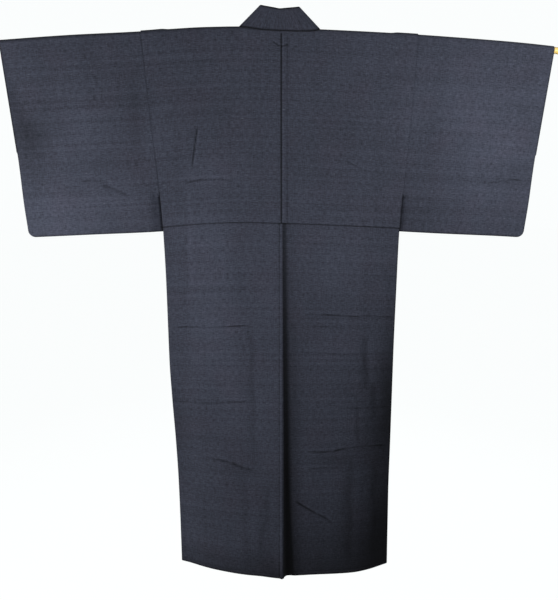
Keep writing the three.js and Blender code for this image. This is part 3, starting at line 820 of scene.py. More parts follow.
@dataclass
class BodyStrip:
    """One body strip, from the back hem over the rod to the front hem."""

    cut: Cut
    side: Side
    back: Drape
    front: Drape
    across_step: float = 4.6
    down_step: float = 7.0
    front_step: float = 13.0
    crease_step: float = 1.5
    crease_reach: float = 6.0
    level_limit: float = 90.0
    narrow_limit: float = 4.0
    under_places: Pair = (-3.0, -0.9)
    seam_places: tuple[float, ...] = (1.5, 7.0, 14.0)
    seam_step: float = 1.1
    seam_reach: float = 4.0
    tuck_row: float = -1.0
    roll_steps: int = 12
    rod_fade: float = 40.0
    side_fade: float = 20.0
    inner_fade: float = 15.0

    @property
    def seam(self) -> CentreSeam:
        """Returns the strip's centre seam."""
        return CentreSeam(self.cut, self.side)

    def side_columns(self, inner: Array, depth: Array, shares: Array) -> Array:
        """Places the columns from an inner edge to the side, where the cloth turns in to its seam.

        Args:
            inner: the inner edge's distances from the centre.
            depth: the depths below the rod, one column.
            shares: the inner columns' shares of the width.

        Returns:
            The distances from the centre.
        """
        cut = self.cut
        free = depth >= cut.sleeve_sewn - cut.body_free_above
        inset = np.where(free, cut.wall / 2 + cut.side_inset, cut.seam_gap / 2)
        edge = cut.side_x(self.side, depth) - inset
        steps = cut.edge_turn * (1 - np.cos(np.radians(TURN_ANGLES)))
        inside = mix(inner, edge - cut.edge_turn, shares[None, :])
        return np.concatenate((inside, edge - steps[None, :][:, 1:]), axis=1)

    def shares(self) -> Array:
        """Chooses where the inner columns stand, closer together at steep creases.

        Returns:
            Shares of the width between the neck's corner and the side.
        """
        cut = self.cut
        neck = cut.neck_at(self.side)
        width = cut.side_at(self.side, 0) - cut.neck_half
        fine = []
        for crease in self.back.creases:
            if crease.width > self.narrow_limit or crease.is_level():
                continue
            for x, depth in (crease.start, crease.end):
                fine.append((abs(x) - neck) / (cut.side_at(self.side, depth) - neck) * width)
        places = stations(0, width, self.across_step, fine=fine, fine_step=self.crease_step,
                          reach=self.crease_reach)
        return places / width

    def neck_columns(self, depth: Array) -> Array:
        """Places the columns from the centre seam to the neck's corner.

        Args:
            depth: the depths below the rod, one column.

        Returns:
            The places across.
        """
        cut = self.cut
        places = stations(cut.seam_gap / 2, cut.neck_half, self.across_step, fine=self.seam_places,
                          fine_step=self.seam_step, reach=self.seam_reach)[:-1]
        if self.side is Side.RIGHT:
            places = np.concatenate((self.under_places, places))
        scale = cut.neck_at(self.side) / cut.neck_half
        centre = cut.seam_line.at(depth)
        return self.side.value * places * scale + centre * (1 - places / cut.neck_half)

    def rows(self, step: float, drape: Drape) -> Array:
        """Places the rows down a wall, closer together round its tuck, creases and hem.

        Args:
            step: the usual spacing.
            drape: the wall's creases.

        Returns:
            The rows' depths below the rod, in one column.
        """
        cut = self.cut
        fine = [cut.tuck_depth + self.tuck_row, cut.body_length - cut.hem_turn]
        for crease in drape.creases:
            low, high = sorted((crease.start[1], crease.end[1]))
            if high - low < self.level_limit:
                fine += list(np.arange(low, high + self.crease_reach, self.crease_reach))
        places = stations(0, cut.body_length, step, fine=fine, fine_step=self.crease_step,
                          reach=self.crease_reach)
        return places[1:, None]

    def free_to_drape(self, x: Array, depth: Array) -> Array:
        """Returns how freely the cloth hangs, from 0 on the rod and at the side seam to 1."""
        from_side = self.cut.side_x(self.side, depth) - self.side.value * x
        return ease(depth / self.rod_fade) * np.clip(from_side / self.side_fade, 0, 1)

    def back_sheet(self, shares: Array) -> Sheet:
        """Lays out the back, with rows from the hem up.

        Args:
            shares: the inner columns' shares of the width.

        Returns:
            The back's grid.
        """
        cut, side = self.cut, self.side
        down = self.rows(self.down_step, self.back)
        corner = np.full_like(down, cut.neck_at(side))
        outer = side.value * self.side_columns(corner, down, shares)
        x = np.concatenate((self.neck_columns(down), outer), axis=1)
        level = np.broadcast_to(down, x.shape)
        height, shade = self.back.relief(x, level)
        raised, dark = self.seam.relief(x, level)
        gap = cut.back_gap(side, x, level) + height * self.free_to_drape(x, level) + raised
        points = np.stack((x, -gap, cut.level_z(side, x, level)), axis=-1)
        # painted shade from the creases, the patches, the centre seam and the edge lines
        shade = shade + dark + BodyEdgeShade(cut, side).shade(x, level)
        return Sheet(points[::-1], np.stack((x, level), axis=-1)[::-1], shade[::-1])

    def roll_sheet(self, shares: Array) -> Sheet:
        """Lays out the cloth over the rod, where it stops at the neck opening's seam.

        Args:
            shares: the inner columns' shares of the width.

        Returns:
            The grid from the back to the front, without points in the neck opening.
        """
        cut, side = self.cut, self.side
        turns = np.linspace(0, math.pi, self.roll_steps + 1)[:, None]
        level = np.zeros_like(turns)
        outer = side.value * self.side_columns(np.full_like(turns, cut.neck_at(side)), level, shares)
        outer_points = cut.roll(outer, turns, cut.roll_radius + cut.allowance(side, outer, 0.0))
        beside = self.neck_columns(level)
        rise = cut.neck_rise[side].at(side.value * beside / cut.neck_at(side)) / cut.roll_radius
        top = np.arcsin(rise) - cut.neck_ease / cut.roll_radius
        share = (turns / cut.neck_corner + cut.neck_roll_start) / (1 + cut.neck_roll_start)
        drop = self.seam.drop(side.value * (beside - cut.seam_line.at(0.0)))
        radius = cut.roll_radius + cut.neck_ease - drop
        beside_points = cut.roll(beside, mix(-cut.neck_roll_start, top, share), radius)
        past_seam = ~((turns[:, 0] < cut.neck_corner) | np.isclose(turns[:, 0], cut.neck_corner))
        beside_points[past_seam] = np.nan
        points = np.concatenate((beside_points, outer_points), axis=1)
        shape = points.shape[:2]
        flat = np.stack((points[..., 0], np.broadcast_to(-turns * cut.roll_radius, shape)), -1)
        return Sheet(points, flat, np.broadcast_to(cut.roll_painted_shade(turns), shape))

    def front_sheet(self, shares: Array) -> Sheet:
        """Lays out the front, with rows from the rod down.

        Args:
            shares: the inner columns' shares of the width.

        Returns:
            The front's grid, with empty columns where the back has those beside the neck.
        """
        cut, side = self.cut, self.side
        down = self.rows(self.front_step, self.front)
        by_collar = cut.collar_x(side, down) + cut.collar_room
        inner = np.where(down < cut.overlap_top, by_collar, cut.overlap_line.at(down))
        x = side.value * self.side_columns(inner + cut.seam_gap, down, shares)
        level = np.broadcast_to(down, x.shape)
        height, shade = self.front.relief(x, level)
        near = self.free_to_drape(x, level) * np.clip((side.value * x - inner) / self.inner_fade, 0, 1)
        gap = cut.front_gap(side, x, level) + height * near
        points = np.stack((x, gap, cut.level_z(side, x, level)), axis=-1)
        flat = np.stack((x, -level - cut.roll_length), axis=-1)
        # painted shade from the drape and the edge lines
        shade = shade + BodyEdgeShade(cut, side).shade(x, level)
        empty = self.neck_columns(down).shape
        return Sheet(
            np.concatenate((np.full(empty + (3,), np.nan), points), axis=1),
            np.concatenate((np.zeros(empty + (2,)), flat), axis=1),
            np.concatenate((np.zeros(empty), shade), axis=1),
        )

    def build(self) -> Object:
        """Builds the strip.

        Returns:
            Its object.
        """
        shares = self.shares()
        whole = Sheet.joined((self.back_sheet(shares), self.roll_sheet(shares), self.front_sheet(shares)))
        whole = whole.mirrored() if self.side is Side.RIGHT else whole
        return ClothForm().make(f"body_{self.side.name.lower()}_cloth", whole)


@dataclass(frozen=True)
class SleevePlaces:
    """Where a sleeve's grid points lie on its outline, as distances from the centre and from its edges."""

    x: Array
    inner: Array
    cuff: Array
    low: Array
    from_bottom: Array
    rise: Array
    part: Array
    top: Array


@dataclass
class Sleeve:
    """A sleeve strip folded over the rod, sewn along its bottom, its lower cuff and its free inner edge."""

    cut: Cut
    side: Side
    drape: Drape
    step: float = 4.6
    roll_steps: int = 12
    corner_lines: int = 6
    far: float = 99.0
    edge_fade: float = 25.0
    rod_fade: float = 40.0
    free_from: float = 8.0
    free_over: float = 9.0
    edge_behind: float = 6.0
    edge_inward: float = 4.4
    edge_inward_reach: float = 16.8
    edge_reach: float = 24.0
    edge_flattens: float = 0.5
    # painted shadow in the slit beside the body, and painted shade along the bottom, the cuff and the seam to
    # the body
    slit_painted_shadow: float = 0.97
    slit_place: float = 1.5
    slit_width: Pair = (1.8, 3.2)
    edge_line: PaintedLine = PaintedLine(0.6, 2.6)
    seam_line: dict[Side, PaintedLine] = field(default_factory=lambda: {
        Side.LEFT: PaintedLine(0.08, 1.6), Side.RIGHT: PaintedLine(0.04, 1.6),
    })

    @property
    def bottom(self) -> float:
        """Returns the depth of the sewn bottom edge."""
        return self.cut.sleeve_depth - self.cut.wall / 2

    @property
    def turn_steps(self) -> Array:
        """Returns the distances from a sewn edge of the lines where the cloth turns in."""
        return self.cut.edge_turn * (1 - np.cos(np.radians(TURN_ANGLES[::-1])))

    @property
    def corner_steps(self) -> Array:
        """Returns the distances from the cuff or the bottom of the lines round the lower corner."""
        rest = np.linspace(self.cut.edge_turn, self.cut.cuff_corner, self.corner_lines)[1:]
        return np.concatenate((self.turn_steps, rest))

    def inner_at(self, down: Array, depth: Array) -> Array:
        """Finds the sleeve's inner edge.

        Args:
            down: the depths on the outline.
            depth: the depths of the grid's rows, one column.

        Returns:
            The distances from the centre.
        """
        cut = self.cut
        free = depth >= cut.sleeve_sewn - cut.sleeve_free_above
        gap = np.where(free, cut.wall / 2 + cut.slit_gap, cut.seam_gap / 2)
        return cut.side_at(self.side, down - cut.rod_z(self.side.value * cut.sleeve_seam_at_rod)) + gap

    def columns(self) -> tuple[Array, Array, Array]:
        """Chooses the grid's columns.

        Returns:
            Distances from the inner edge, shares of the width and distances from the cuff, each in one row,
            with nan in the first and last where a column doesn't belong to that edge.
        """
        width = self.cut.cuff_at_rod - self.cut.side_at(self.side, 0)
        shares = stations(0, width, self.step)[1:-1] / width
        at_edge, at_cuff = self.turn_steps, self.corner_steps[::-1]
        from_inner = np.concatenate((at_edge, np.full(len(shares) + len(at_cuff), np.nan)))
        share = np.concatenate((np.zeros(len(at_edge)), shares, np.ones(len(at_cuff))))
        from_cuff = np.concatenate((np.full(len(at_edge) + len(shares), np.nan), at_cuff))
        return from_inner[None, :], share[None, :], from_cuff[None, :]

    def lay_out(self, depth: Array) -> SleevePlaces:
        """Lays the grid on the outline, with its sewn edges turned in and its lower corner rounded.

        Args:
            depth: the rows' depths, one column.

        Returns:
            The places.
        """
        cut = self.cut
        from_inner, share, from_cuff = self.columns()
        shape = np.broadcast_shapes(depth.shape, share.shape)
        from_bottom = np.broadcast_to(self.bottom - depth, shape)
        cuff_off = np.broadcast_to(np.where(np.isnan(from_cuff), np.inf, from_cuff), shape)
        sewn_cuff = depth > cut.wrist_opening
        turned = cut.turn_rise(np.where(np.isnan(from_inner), self.far, from_inner))
        rise = np.where(depth >= cut.sleeve_sewn - cut.sleeve_free_above, turned, 1)
        rise = np.minimum(rise, np.where(sewn_cuff, cut.turn_rise(np.minimum(cuff_off, self.far)), 1))
        rise = np.minimum(rise, cut.turn_rise(np.maximum(from_bottom, 0)))
        across, down = cut.cuff_corner - cuff_off, cut.cuff_corner - from_bottom
        rounded = (across > 0) & (down > 0) & sewn_cuff
        safe = np.where(rounded, np.hypot(np.where(rounded, across, 1), down), 1)
        scale = np.where(rounded, np.maximum(across, down) / safe, 1)
        cuff_off = np.where(rounded, cut.cuff_corner - across * scale, cuff_off)
        from_bottom = np.where(rounded, cut.cuff_corner - down * scale, from_bottom)
        low = self.bottom - from_bottom
        inner = self.inner_at(low, depth)
        flare = cut.cuff_flare * ease((low - cut.wrist_opening) / cut.cuff_flare_length)
        cuff = cut.cuff_at_rod - cut.cuff_lean[self.side] * low + flare
        x = mix(inner + cut.edge_turn, cuff - cut.cuff_corner, share)
        x = np.where(np.isnan(from_inner), x, inner + from_inner)
        x = np.where(np.isinf(cuff_off), x, cuff - cuff_off)
        part = np.clip((x - inner) / (cuff - inner), 0, 1)
        top_inner = self.inner_at(np.zeros_like(depth), depth)
        top = self.side.value * (top_inner + (cut.cuff_at_rod - top_inner) * part)
        return SleevePlaces(x, inner, cuff, low, from_bottom, rise, part, top)

    def wall_sheet(self, wall: Wall, depth: Array) -> Sheet:
        """Hangs one wall. Its free inner edge hangs just in front of the body's side, so that no gap shows.

        Args:
            wall: the back or the front.
            depth: the rows' depths, one column.

        Returns:
            The wall's grid, with rows from the rod down.
        """
        cut, sign = self.cut, self.side.value
        at = self.lay_out(depth)
        loss = cut.sleeve_cuff_loss * at.part**2 * (at.low / self.bottom)
        gap = mix(cut.seam_gap / 2, cut.edge_gap(depth), at.rise)
        from_edge, from_cuff = at.x - at.inner, at.cuff - at.x
        height, shade = self.drape.relief(sign * at.x, at.low)
        away = np.minimum(np.minimum(from_edge, from_cuff), at.from_bottom)
        height = height * np.clip(away / self.edge_fade, 0, 1) * ease(at.low / self.rod_fade)
        free = ease((at.low - cut.sleeve_sewn + self.free_from) / self.free_over)
        near = free * (1 - ease(from_edge / self.edge_reach))
        # painted shadow in the slit, and painted shade along the bottom, the cuff and the seam to the body
        slit = free * bell(from_edge, self.slit_place, mix(*self.slit_width, free)) * self.slit_painted_shadow
        edges = self.edge_line.shade(at.from_bottom) + self.edge_line.shade(from_cuff)
        seam = (1 - free) * self.seam_line[self.side].shade(from_edge)
        x = at.x - self.edge_inward * free * (1 - ease(from_edge / self.edge_inward_reach))
        y = wall.value * (gap * (1 - self.edge_flattens * near) + height) + self.edge_behind * near
        flat = np.stack((at.top, -wall.value * at.low), axis=-1)
        if wall is Wall.FRONT:
            flat = flat - np.array([0, cut.roll_length])
        points = np.stack((sign * x, y, cut.rod_z(at.top) - (at.low - loss)), axis=-1)
        return Sheet(points, flat, shade + slit + edges + seam)

    def roll_sheet(self) -> Sheet:
        """Lays the cloth over the rod.

        Returns:
            The grid from the back to the front.
        """
        cut = self.cut
        turns = np.linspace(0, math.pi, self.roll_steps + 1)[:, None]
        top = self.lay_out(np.zeros_like(turns)).top
        flat = np.stack((top, np.broadcast_to(-turns * cut.roll_radius, top.shape)), axis=-1)
        shade = np.broadcast_to(cut.roll_painted_shade(turns), top.shape)
        return Sheet(cut.roll(top, turns, cut.roll_radius), flat, shade)

    def build(self) -> Object:
        """Builds the sleeve.

        Returns:
            Its object.
        """
        rows = stations(0, self.bottom - self.cut.cuff_corner, self.step)[1:]
        depths = np.concatenate((rows, self.bottom - self.corner_steps[::-1][1:]))[:, None]
        back, front = self.wall_sheet(Wall.BACK, depths), self.wall_sheet(Wall.FRONT, depths)
        upward = Sheet(back.points[::-1], back.flat[::-1], back.shade[::-1])
        whole = Sheet.joined((upward, self.roll_sheet(), front))
        whole = whole.mirrored() if self.side is Side.RIGHT else whole
        return ClothForm().make(f"sleeve_{self.side.name.lower()}_cloth", whole)


@dataclass
class Overlap:
    """The overlap panel at the front edge of a body strip, from its point at the collar to the hem."""

    cut: Cut
    side: Side
    drape: Drape
    step: float = 5.0
    columns: int = 28
    point_below: float = 8.0
    hem_reach: float = 4.0
    edge_fade: float = 15.0

    def build(self) -> Object:
        """Builds the panel, with rows from its point to the hem.

        Returns:
            Its object.
        """
        cut, sign = self.cut, self.side.value
        fine = (cut.body_length - cut.hem_turn,)
        depths = stations(cut.overlap_top + self.point_below, cut.body_length, self.step, fine=fine,
                          reach=self.hem_reach)[:, None]
        seam = cut.overlap_line.at(depths) - cut.seam_gap
        by_collar = cut.collar_x(self.side, depths) + cut.seam_gap + cut.collar_room
        edge = np.where(depths < cut.collar_end, by_collar, -cut.overlap_edge)
        inner = np.minimum(edge, seam - cut.overlap_tip)
        share = np.linspace(1, 0, self.columns)[None, :]
        x = sign * mix(inner, seam, share)
        level = np.broadcast_to(depths, x.shape)
        height, shade = self.drape.relief(x, level)
        near = np.clip(np.minimum(share, 1 - share) * (seam - inner) / self.edge_fade, 0, 1)
        gap = cut.front_gap(self.side, x, level) + height * near
        z = cut.level_z(Side.RIGHT, np.zeros_like(level), level)
        sheet = Sheet(np.stack((x, gap, z), -1), np.stack((x, -level - cut.roll_length), -1), shade)
        sheet = sheet.mirrored() if self.side is Side.LEFT else sheet
        return ClothForm().make(f"okumi_{self.side.name.lower()}_cloth", sheet)


@dataclass
class Collar:
    """The collar band round the neck and down both fronts, and the over-collar that wraps its middle."""

    cut: Cut
    neck_rows: tuple[tuple[float, float, float, float, float], ...] = (
        (0, 0, 0, -6.5, 51.4), (24, 0, 13, -6.3, 53), (46, 0, 25, -6, 54.6), (66, 0, 35, -5.4, 56),
        (84, 0, 42, -4.4, 57.2), (93.5, 0, 45.6, -3.2, 58), (96.4, 60, 47.6, -1, 58.4),
        (96.6, 95, 48, 2.4, 57.8), (96.6, 135, 47.4, 6.2, 53), (96.6, 180, 45.8, 9.8, 40),
    )
    front_depths: tuple[float, ...] = (12, 40, 90, 140, 190, 250, 335, 430, 540, 650, 745)
    tilt: float = 1.6
    corner_x: float = 48.0
    standing_in: float = 51.0
    standing_up: float = 26.0
    folds_over_by: float = 90.0
    slope_step: float = 4.0
    highest_turn: float = 0.8
    lap: float = 0.035
    thickness: float = 1.6
    step: float = 5.0
    columns: int = 12
    # painted shade along the band's free edge
    free_line: PaintedLine = PaintedLine(0.6, 0.03, 1.0)
    over_thickness: float = 0.9
    over_gap: float = 1.1
    over_step: float = 4.0
    over_lap: float = 0.01
    over_seam_to: float = 0.09
    over_seam_columns: int = 8
    over_face_columns: int = 13
    over_fold_columns: int = 9
    # painted shade along the over-collar's seam and free edge, darkest round its fold
    over_seam_line: PaintedLine = PaintedLine(0.9, 0.055)
    over_face_line: PaintedLine = PaintedLine(0.5, 0.06, 1.0)
    over_fold_painted_shade: float = 0.85

    def sections(self, side: Side) -> tuple[list[Array], list[Array]]:
        """Places the band's two edges on one side, from the back middle to the front end.

        Args:
            side: the garment's side.

        Returns:
            The sewn edge's points and the free edge's points.
        """
        cut, sign = self.cut, side.value
        radius = cut.roll_radius + cut.collar_clearance
        base, free = [], []
        for base_x, turn_degrees, free_x, free_y, free_z in self.neck_rows:
            x = sign * base_x * cut.neck_at(side) / cut.neck_half
            turn = math.radians(turn_degrees)
            if turn_degrees == 0:
                rise = float(cut.neck_rise[side].at(base_x / cut.neck_half))
                turn = min(math.asin(rise / cut.roll_radius), cut.neck_corner * self.highest_turn)
            base.append(cut.roll(np.array(x), np.array(turn), radius))
            lean = -sign * self.tilt * free_x / self.corner_x
            free.append(np.array([sign * free_x - cut.neck_shift, free_y, free_z + lean]))
        for depth in self.front_depths:
            x = float(cut.collar_x(side, depth))
            level = min(depth, cut.collar_end - self.slope_step)
            above = cut.collar_x(side, level - self.slope_step)
            below = cut.collar_x(side, level + self.slope_step)
            along = np.array([float(below - above) / (2 * self.slope_step), -1.0])
            along = along / np.linalg.norm(along)
            y = float(cut.front_gap(side, np.array(sign * x), np.array(float(depth)))) + cut.collar_clearance
            z = float(cut.level_z(Side.RIGHT, np.array(0.0), np.array(float(depth))))
            settle = float(ease(depth / self.folds_over_by))
            free_x = x + cut.collar_width * along[1] * settle - self.standing_in * (1 - settle)
            free_z = z - cut.collar_width * along[0] * settle + self.standing_up * (1 - settle)
            free_y = float(cut.front_gap(side, np.array(sign * free_x), np.array(max(0.0, -free_z))))
            free_y = max(free_y, y - cut.collar_clearance) + cut.collar_clearance
            base.append(np.array([sign * x, y, z]))
            free.append(np.array([sign * free_x, free_y, free_z]))
        return base, free

    def band(self, step: float, end: float) -> tuple[Array, Array]:
        """Samples both edges of the band finely.

        Args:
            step: the spacing along the band.
            end: the depth in front at which the band stops.

        Returns:
            The sewn edge's and the free edge's points, from the left front's end to the right's.
        """
        edges = []
        stop = len(self.neck_rows) + self.front_depths.index(end)
        left, right = self.sections(Side.LEFT), self.sections(Side.RIGHT)
        for which in (0, 1):
            points = np.array(left[which][1:stop + 1][::-1] + right[which][:stop + 1])
            edges.append(points)
        middle = (edges[0] + edges[1]) / 2
        travel = np.concatenate(([0], np.cumsum(np.linalg.norm(np.diff(middle, axis=0), axis=1))))
        places = np.linspace(0, travel[-1], math.ceil(travel[-1] / step) + 1)
        fine = [
            np.stack([Curve(tuple(zip(travel, points[:, axis]))).at(places) for axis in range(3)], -1)
            for points in edges
        ]
        return fine[0], fine[1]

    def inner_sheet(self) -> Sheet:
        """Lays out the collar's own band.

        Returns:
            Its grid, with rows along the band.
        """
        base, free = self.band(self.step, self.cut.collar_end)
        share = np.linspace(-self.lap, 1, self.columns)
        points = mix(base[:, None], free[:, None], share[None, :, None])
        # painted shade along the free edge
        shade = np.broadcast_to(self.free_line.shade(share), points.shape[:2])
        return Sheet(points, self.flat(points), shade)

    def flat(self, points: Array) -> Array:
        """Finds the flat places of a band's grid.

        Args:
            points: the grid's points.

        Returns:
            Their places across the band and along it.
        """
        first, middle = points[:, 0], points[len(points) // 2]
        steps = [np.linalg.norm(np.diff(line, axis=0), axis=1) for line in (first, middle)]
        along, across = (np.cumsum(np.concatenate(([0], step))) for step in steps)
        return np.stack(np.meshgrid(across, along), axis=-1)

    def outer_sheet(self) -> Sheet:
        """Wraps the over-collar round the free edge, from close to the seam on both faces.

        Returns:
            Its grid, with rows along the band.
        """
        base, free = self.band(self.over_step, self.cut.over_collar_end)
        near_seam = np.linspace(-self.lap - self.over_lap, self.over_seam_to, self.over_seam_columns)
        share = np.concatenate((near_seam, np.linspace(self.over_seam_to, 1, self.over_face_columns)[1:]))
        band = Sheet(mix(base[:, None], free[:, None], share[None, :, None]), np.zeros(1), np.zeros(1))
        normals = band.normals()
        offset = self.thickness / 2 + self.over_gap
        outward = np.cross(np.gradient(free, axis=0), normals[:, -1])
        outward = outward / np.linalg.norm(outward, axis=-1, keepdims=True)
        flip = np.sum(outward * (free - base), axis=-1) < 0
        outward[flip] *= -1
        centre = free - outward * self.thickness / 2
        face = band.points[:, :-1]
        angles = np.linspace(0, math.pi, self.over_fold_columns)
        fold = np.stack([
            centre + normals[:, -1] * offset * math.cos(a) + outward * offset * math.sin(a) for a in angles
        ], axis=1)
        above, under = face + normals[:, :-1] * offset, face - normals[:, :-1] * offset
        points = np.concatenate((above, fold, under[:, ::-1]), axis=1)
        # painted shade along the seam and the free edge, darkest round the fold
        face_shade = self.over_seam_line.shade(share[:-1] + self.lap) + self.over_face_line.shade(share[:-1])
        shade = np.concatenate((face_shade, np.full(len(angles), self.over_fold_painted_shade), face_shade[::-1]))
        return Sheet(points, self.flat(points), np.broadcast_to(shade, points.shape[:2]))

    def build(self) -> tuple[Object, Object]:
        """Builds the collar and the over-collar."""
        return (ClothForm(self.thickness).make("collar_cloth", self.inner_sheet()),
                ClothForm(self.over_thickness).make("over_collar_cloth", self.outer_sheet()))


@dataclass
class Rod:
    """The round wooden rod through both sleeves."""

    cut: Cut
    half_length: float = 724.0
    rings: int = 52
    sides: int = 40
    end_margin: float = 0.5
    bevel: float = 1.2
    bevel_steps: int = 3
    bevel_profile: float = 0.6
    smooth_to: float = 35.0

    def build(self) -> Object:
        """Builds the rod from a cylinder, cut into rings that follow the rod's line.

        Returns:
            Its object.
        """
        bpy.ops.object.select_all(action="DESELECT")
        bpy.ops.mesh.primitive_cylinder_add(
            vertices=self.sides, radius=self.cut.rod_radius * MM, depth=2 * self.half_length * MM,
            end_fill_type="NGON", rotation=(0, math.pi / 2, 0),
        )
        rod = bpy.context.active_object
        rod.name = rod.data.name = "rod_turned"
        bpy.ops.object.transform_apply(location=True, rotation=True, scale=True)
        bpy.ops.object.mode_set(mode="EDIT")
        for ring in range(1, self.rings):
            x = mix(-self.half_length, self.half_length, ring / self.rings) * MM
            bpy.ops.mesh.select_all(action="SELECT")
            bpy.ops.mesh.bisect(plane_co=(x, 0, 0), plane_no=(1, 0, 0))
        bpy.ops.mesh.select_all(action="DESELECT")
        shape = bmesh.from_edit_mesh(rod.data)
        limit = (self.half_length - self.end_margin) * MM
        for edge in shape.edges:
            edge.select = all(abs(v.co.x) > limit for v in edge.verts)
        bmesh.update_edit_mesh(rod.data)
        bpy.ops.mesh.bevel(offset=self.bevel * MM, segments=self.bevel_steps, profile=self.bevel_profile)
        bpy.ops.object.mode_set(mode="OBJECT")
        for vertex in rod.data.vertices:
            x = vertex.co.x / MM
            slope = math.atan2(float(self.cut.rod_z(x + 1) - self.cut.rod_z(x - 1)), 2)
            up = vertex.co.z
            vertex.co.x -= up * math.sin(slope)
            vertex.co.z = float(self.cut.rod_z(x)) * MM + up * math.cos(slope)
        select_only(rod)
        bpy.ops.object.shade_smooth_by_angle(angle=math.radians(self.smooth_to))
        return rod


def node(tree: Tree, kind: str, **settings: object) -> bpy.types.Node:
    """Adds a shader node.

    Args:
        tree: the node tree.
        kind: the node's type name without its prefix.
        settings: properties by name, and input values by their socket's name in capitals.

    Returns:
        The node.
    """
    made = tree.nodes.new(f"ShaderNode{kind}")
    for name, value in settings.items():
        if hasattr(made, name):
            setattr(made, name, value)
        else:
            made.inputs[name.replace("_", " ")].default_value = value
    return made


class Socket(Enum):
    """The kinds of socket that a shader group has."""

    VALUE = "NodeSocketFloat"
    VECTOR = "NodeSocketVector"
    COLOUR = "NodeSocketColor"


def feed(tree: Tree, value: object, socket: NodeSocket) -> None:
    """Feeds a socket from another one, or sets it to a plain value.

    Args:
        tree: the node tree.
        value: the socket or the value.
        socket: the socket to feed.
    """
    if isinstance(value, NodeSocket):
        tree.links.new(value, socket)
    else:
        socket.default_value = value


def chain(tree: Tree, operation: str, *values: object) -> NodeSocket:
    """Adds a math node to a tree.

    Args:
        tree: the node tree.
        operation: the node's operation.
        values: its inputs in order, each a number or the socket that feeds it.

    Returns:
        Its output.
    """
    made = node(tree, "Math", operation=operation)
    for number, value in enumerate(values):
        feed(tree, value, made.inputs[number])
    return made.outputs["Value"]


def spread(tree: Tree, value: NodeSocket, low: float, high: float,
           to_low: float = 0.0, to_high: float = 1.0) -> NodeSocket:
    """Maps a value from one range to another.

    Args:
        tree: the node tree.
        value: the socket to map.
        low: the value that becomes to_low.
        high: the value that becomes to_high.
        to_low: the result at low.
        to_high: the result at high.

    Returns:
        The output.
    """
    made = node(tree, "MapRange", From_Min=low, From_Max=high, To_Min=to_low, To_Max=to_high)
    tree.links.new(value, made.inputs["Value"])
    return made.outputs["Result"]


def noise(tree: Tree, place: NodeSocket, scale: Triple,
          detail: float = 2.0, roughness: float = 0.5) -> NodeSocket:
    """Adds stretched noise.

    Args:
        tree: the node tree.
        place: the coordinates that it reads.
        scale: spots to the metre along each axis.
        detail: how many finer layers it has.
        roughness: how strong they are.

    Returns:
        The noise's value.
    """
    stretch = node(tree, "Mapping", Scale=scale)
    tree.links.new(place, stretch.inputs["Vector"])
    made = node(tree, "TexNoise", Scale=1.0, Detail=detail, Roughness=roughness)
    tree.links.new(stretch.outputs["Vector"], made.inputs["Vector"])
    return made.outputs["Fac"]


def blend(tree: Tree, first: object, second: object, factor: NodeSocket) -> NodeSocket:
    """Blends two colours, each a socket or a plain colour.

    Args:
        tree: the node tree.
        first: the colour where the factor is 0.
        second: the colour where it is 1.
        factor: the factor.

    Returns:
        The blended colour.
    """
    made = node(tree, "Mix", data_type="RGBA")
    for value, name in ((first, "A"), (second, "B"), (factor, "Factor")):
        feed(tree, value, made.inputs[name])
    return made.outputs["Result"]


@dataclass(frozen=True)
class Finish:
    """What every finish has: a name, and a surface whose colour, roughness and bump it sets."""

    name: str

    def start(self) -> tuple[bpy.types.Material, Tree, Sockets]:
        """Adds the finish's material.

        Returns:
            The material, its tree, and its surface's inputs.
        """
        material = bpy.data.materials.new(self.name)
        material.use_nodes = True
        return material, material.node_tree, material.node_tree.nodes["Principled BSDF"].inputs

    def tint(self, tree: Tree, surface: Sockets, colour: object, factor: NodeSocket) -> None:
        """Sets the surface's colour.

        Args:
            tree: the material's tree.
            surface: the surface's inputs.
            colour: the colour, or the socket that gives it.
            factor: how much of it is kept from place to place.
        """
        toned = node(tree, "VectorMath", operation="SCALE")
        feed(tree, colour, toned.inputs["Vector"])
        feed(tree, factor, toned.inputs["Scale"])
        feed(tree, toned.outputs["Vector"], surface["Base Color"])

    def raise_up(self, tree: Tree, surface: Sockets, height: NodeSocket, strength: float,
                 depth: float) -> None:
        """Gives the surface its fine relief.

        Args:
            tree: the material's tree.
            surface: the surface's inputs.
            height: the relief's height, from 0 to about 1.
            strength: how strongly it shows.
            depth: the height of 1 in metres.
        """
        bump = node(tree, "Bump", Strength=strength, Distance=depth)
        feed(tree, height, bump.inputs["Height"])
        feed(tree, bump.outputs["Normal"], surface["Normal"])


@dataclass(frozen=True)
class Group:
    """A shader group that is built once and placed in each material with its own values."""

    name: str
    inputs: tuple[tuple[str, Socket, object], ...]
    outputs: tuple[tuple[str, Socket], ...]

    def tree(self) -> Tree:
        """Finds the group's tree, and builds it the first time.

        Returns:
            The tree.
        """
        made = bpy.data.node_groups.get(self.name)
        if made:
            return made
        made = bpy.data.node_groups.new(self.name, "ShaderNodeTree")
        for name, kind, value in self.inputs:
            socket = made.interface.new_socket(name, in_out="INPUT", socket_type=kind.value)
            if value is not None:
                socket.default_value = value
        for name, kind in self.outputs:
            made.interface.new_socket(name, in_out="OUTPUT", socket_type=kind.value)
        self.fill(made, made.nodes.new("NodeGroupInput").outputs, made.nodes.new("NodeGroupOutput").inputs)
        return made

    def fill(self, tree: Tree, given: Sockets,
             result: Sockets) -> None:
        """Adds the nodes between the group's inputs and outputs."""
        raise NotImplementedError(self.name)

    def place(self, tree: Tree, **values: object) -> Sockets:
        """Places the group in a material.

        Args:
            tree: the material's tree.
            values: a socket or a plain value for each input, by its name with underscores for spaces.

        Returns:
            The placed group's outputs.
        """
        placed = tree.nodes.new("ShaderNodeGroup")
        placed.node_tree = self.tree()
        for name, value in values.items():
            feed(tree, value, placed.inputs[name.replace("_", " ")])
        return placed.outputs


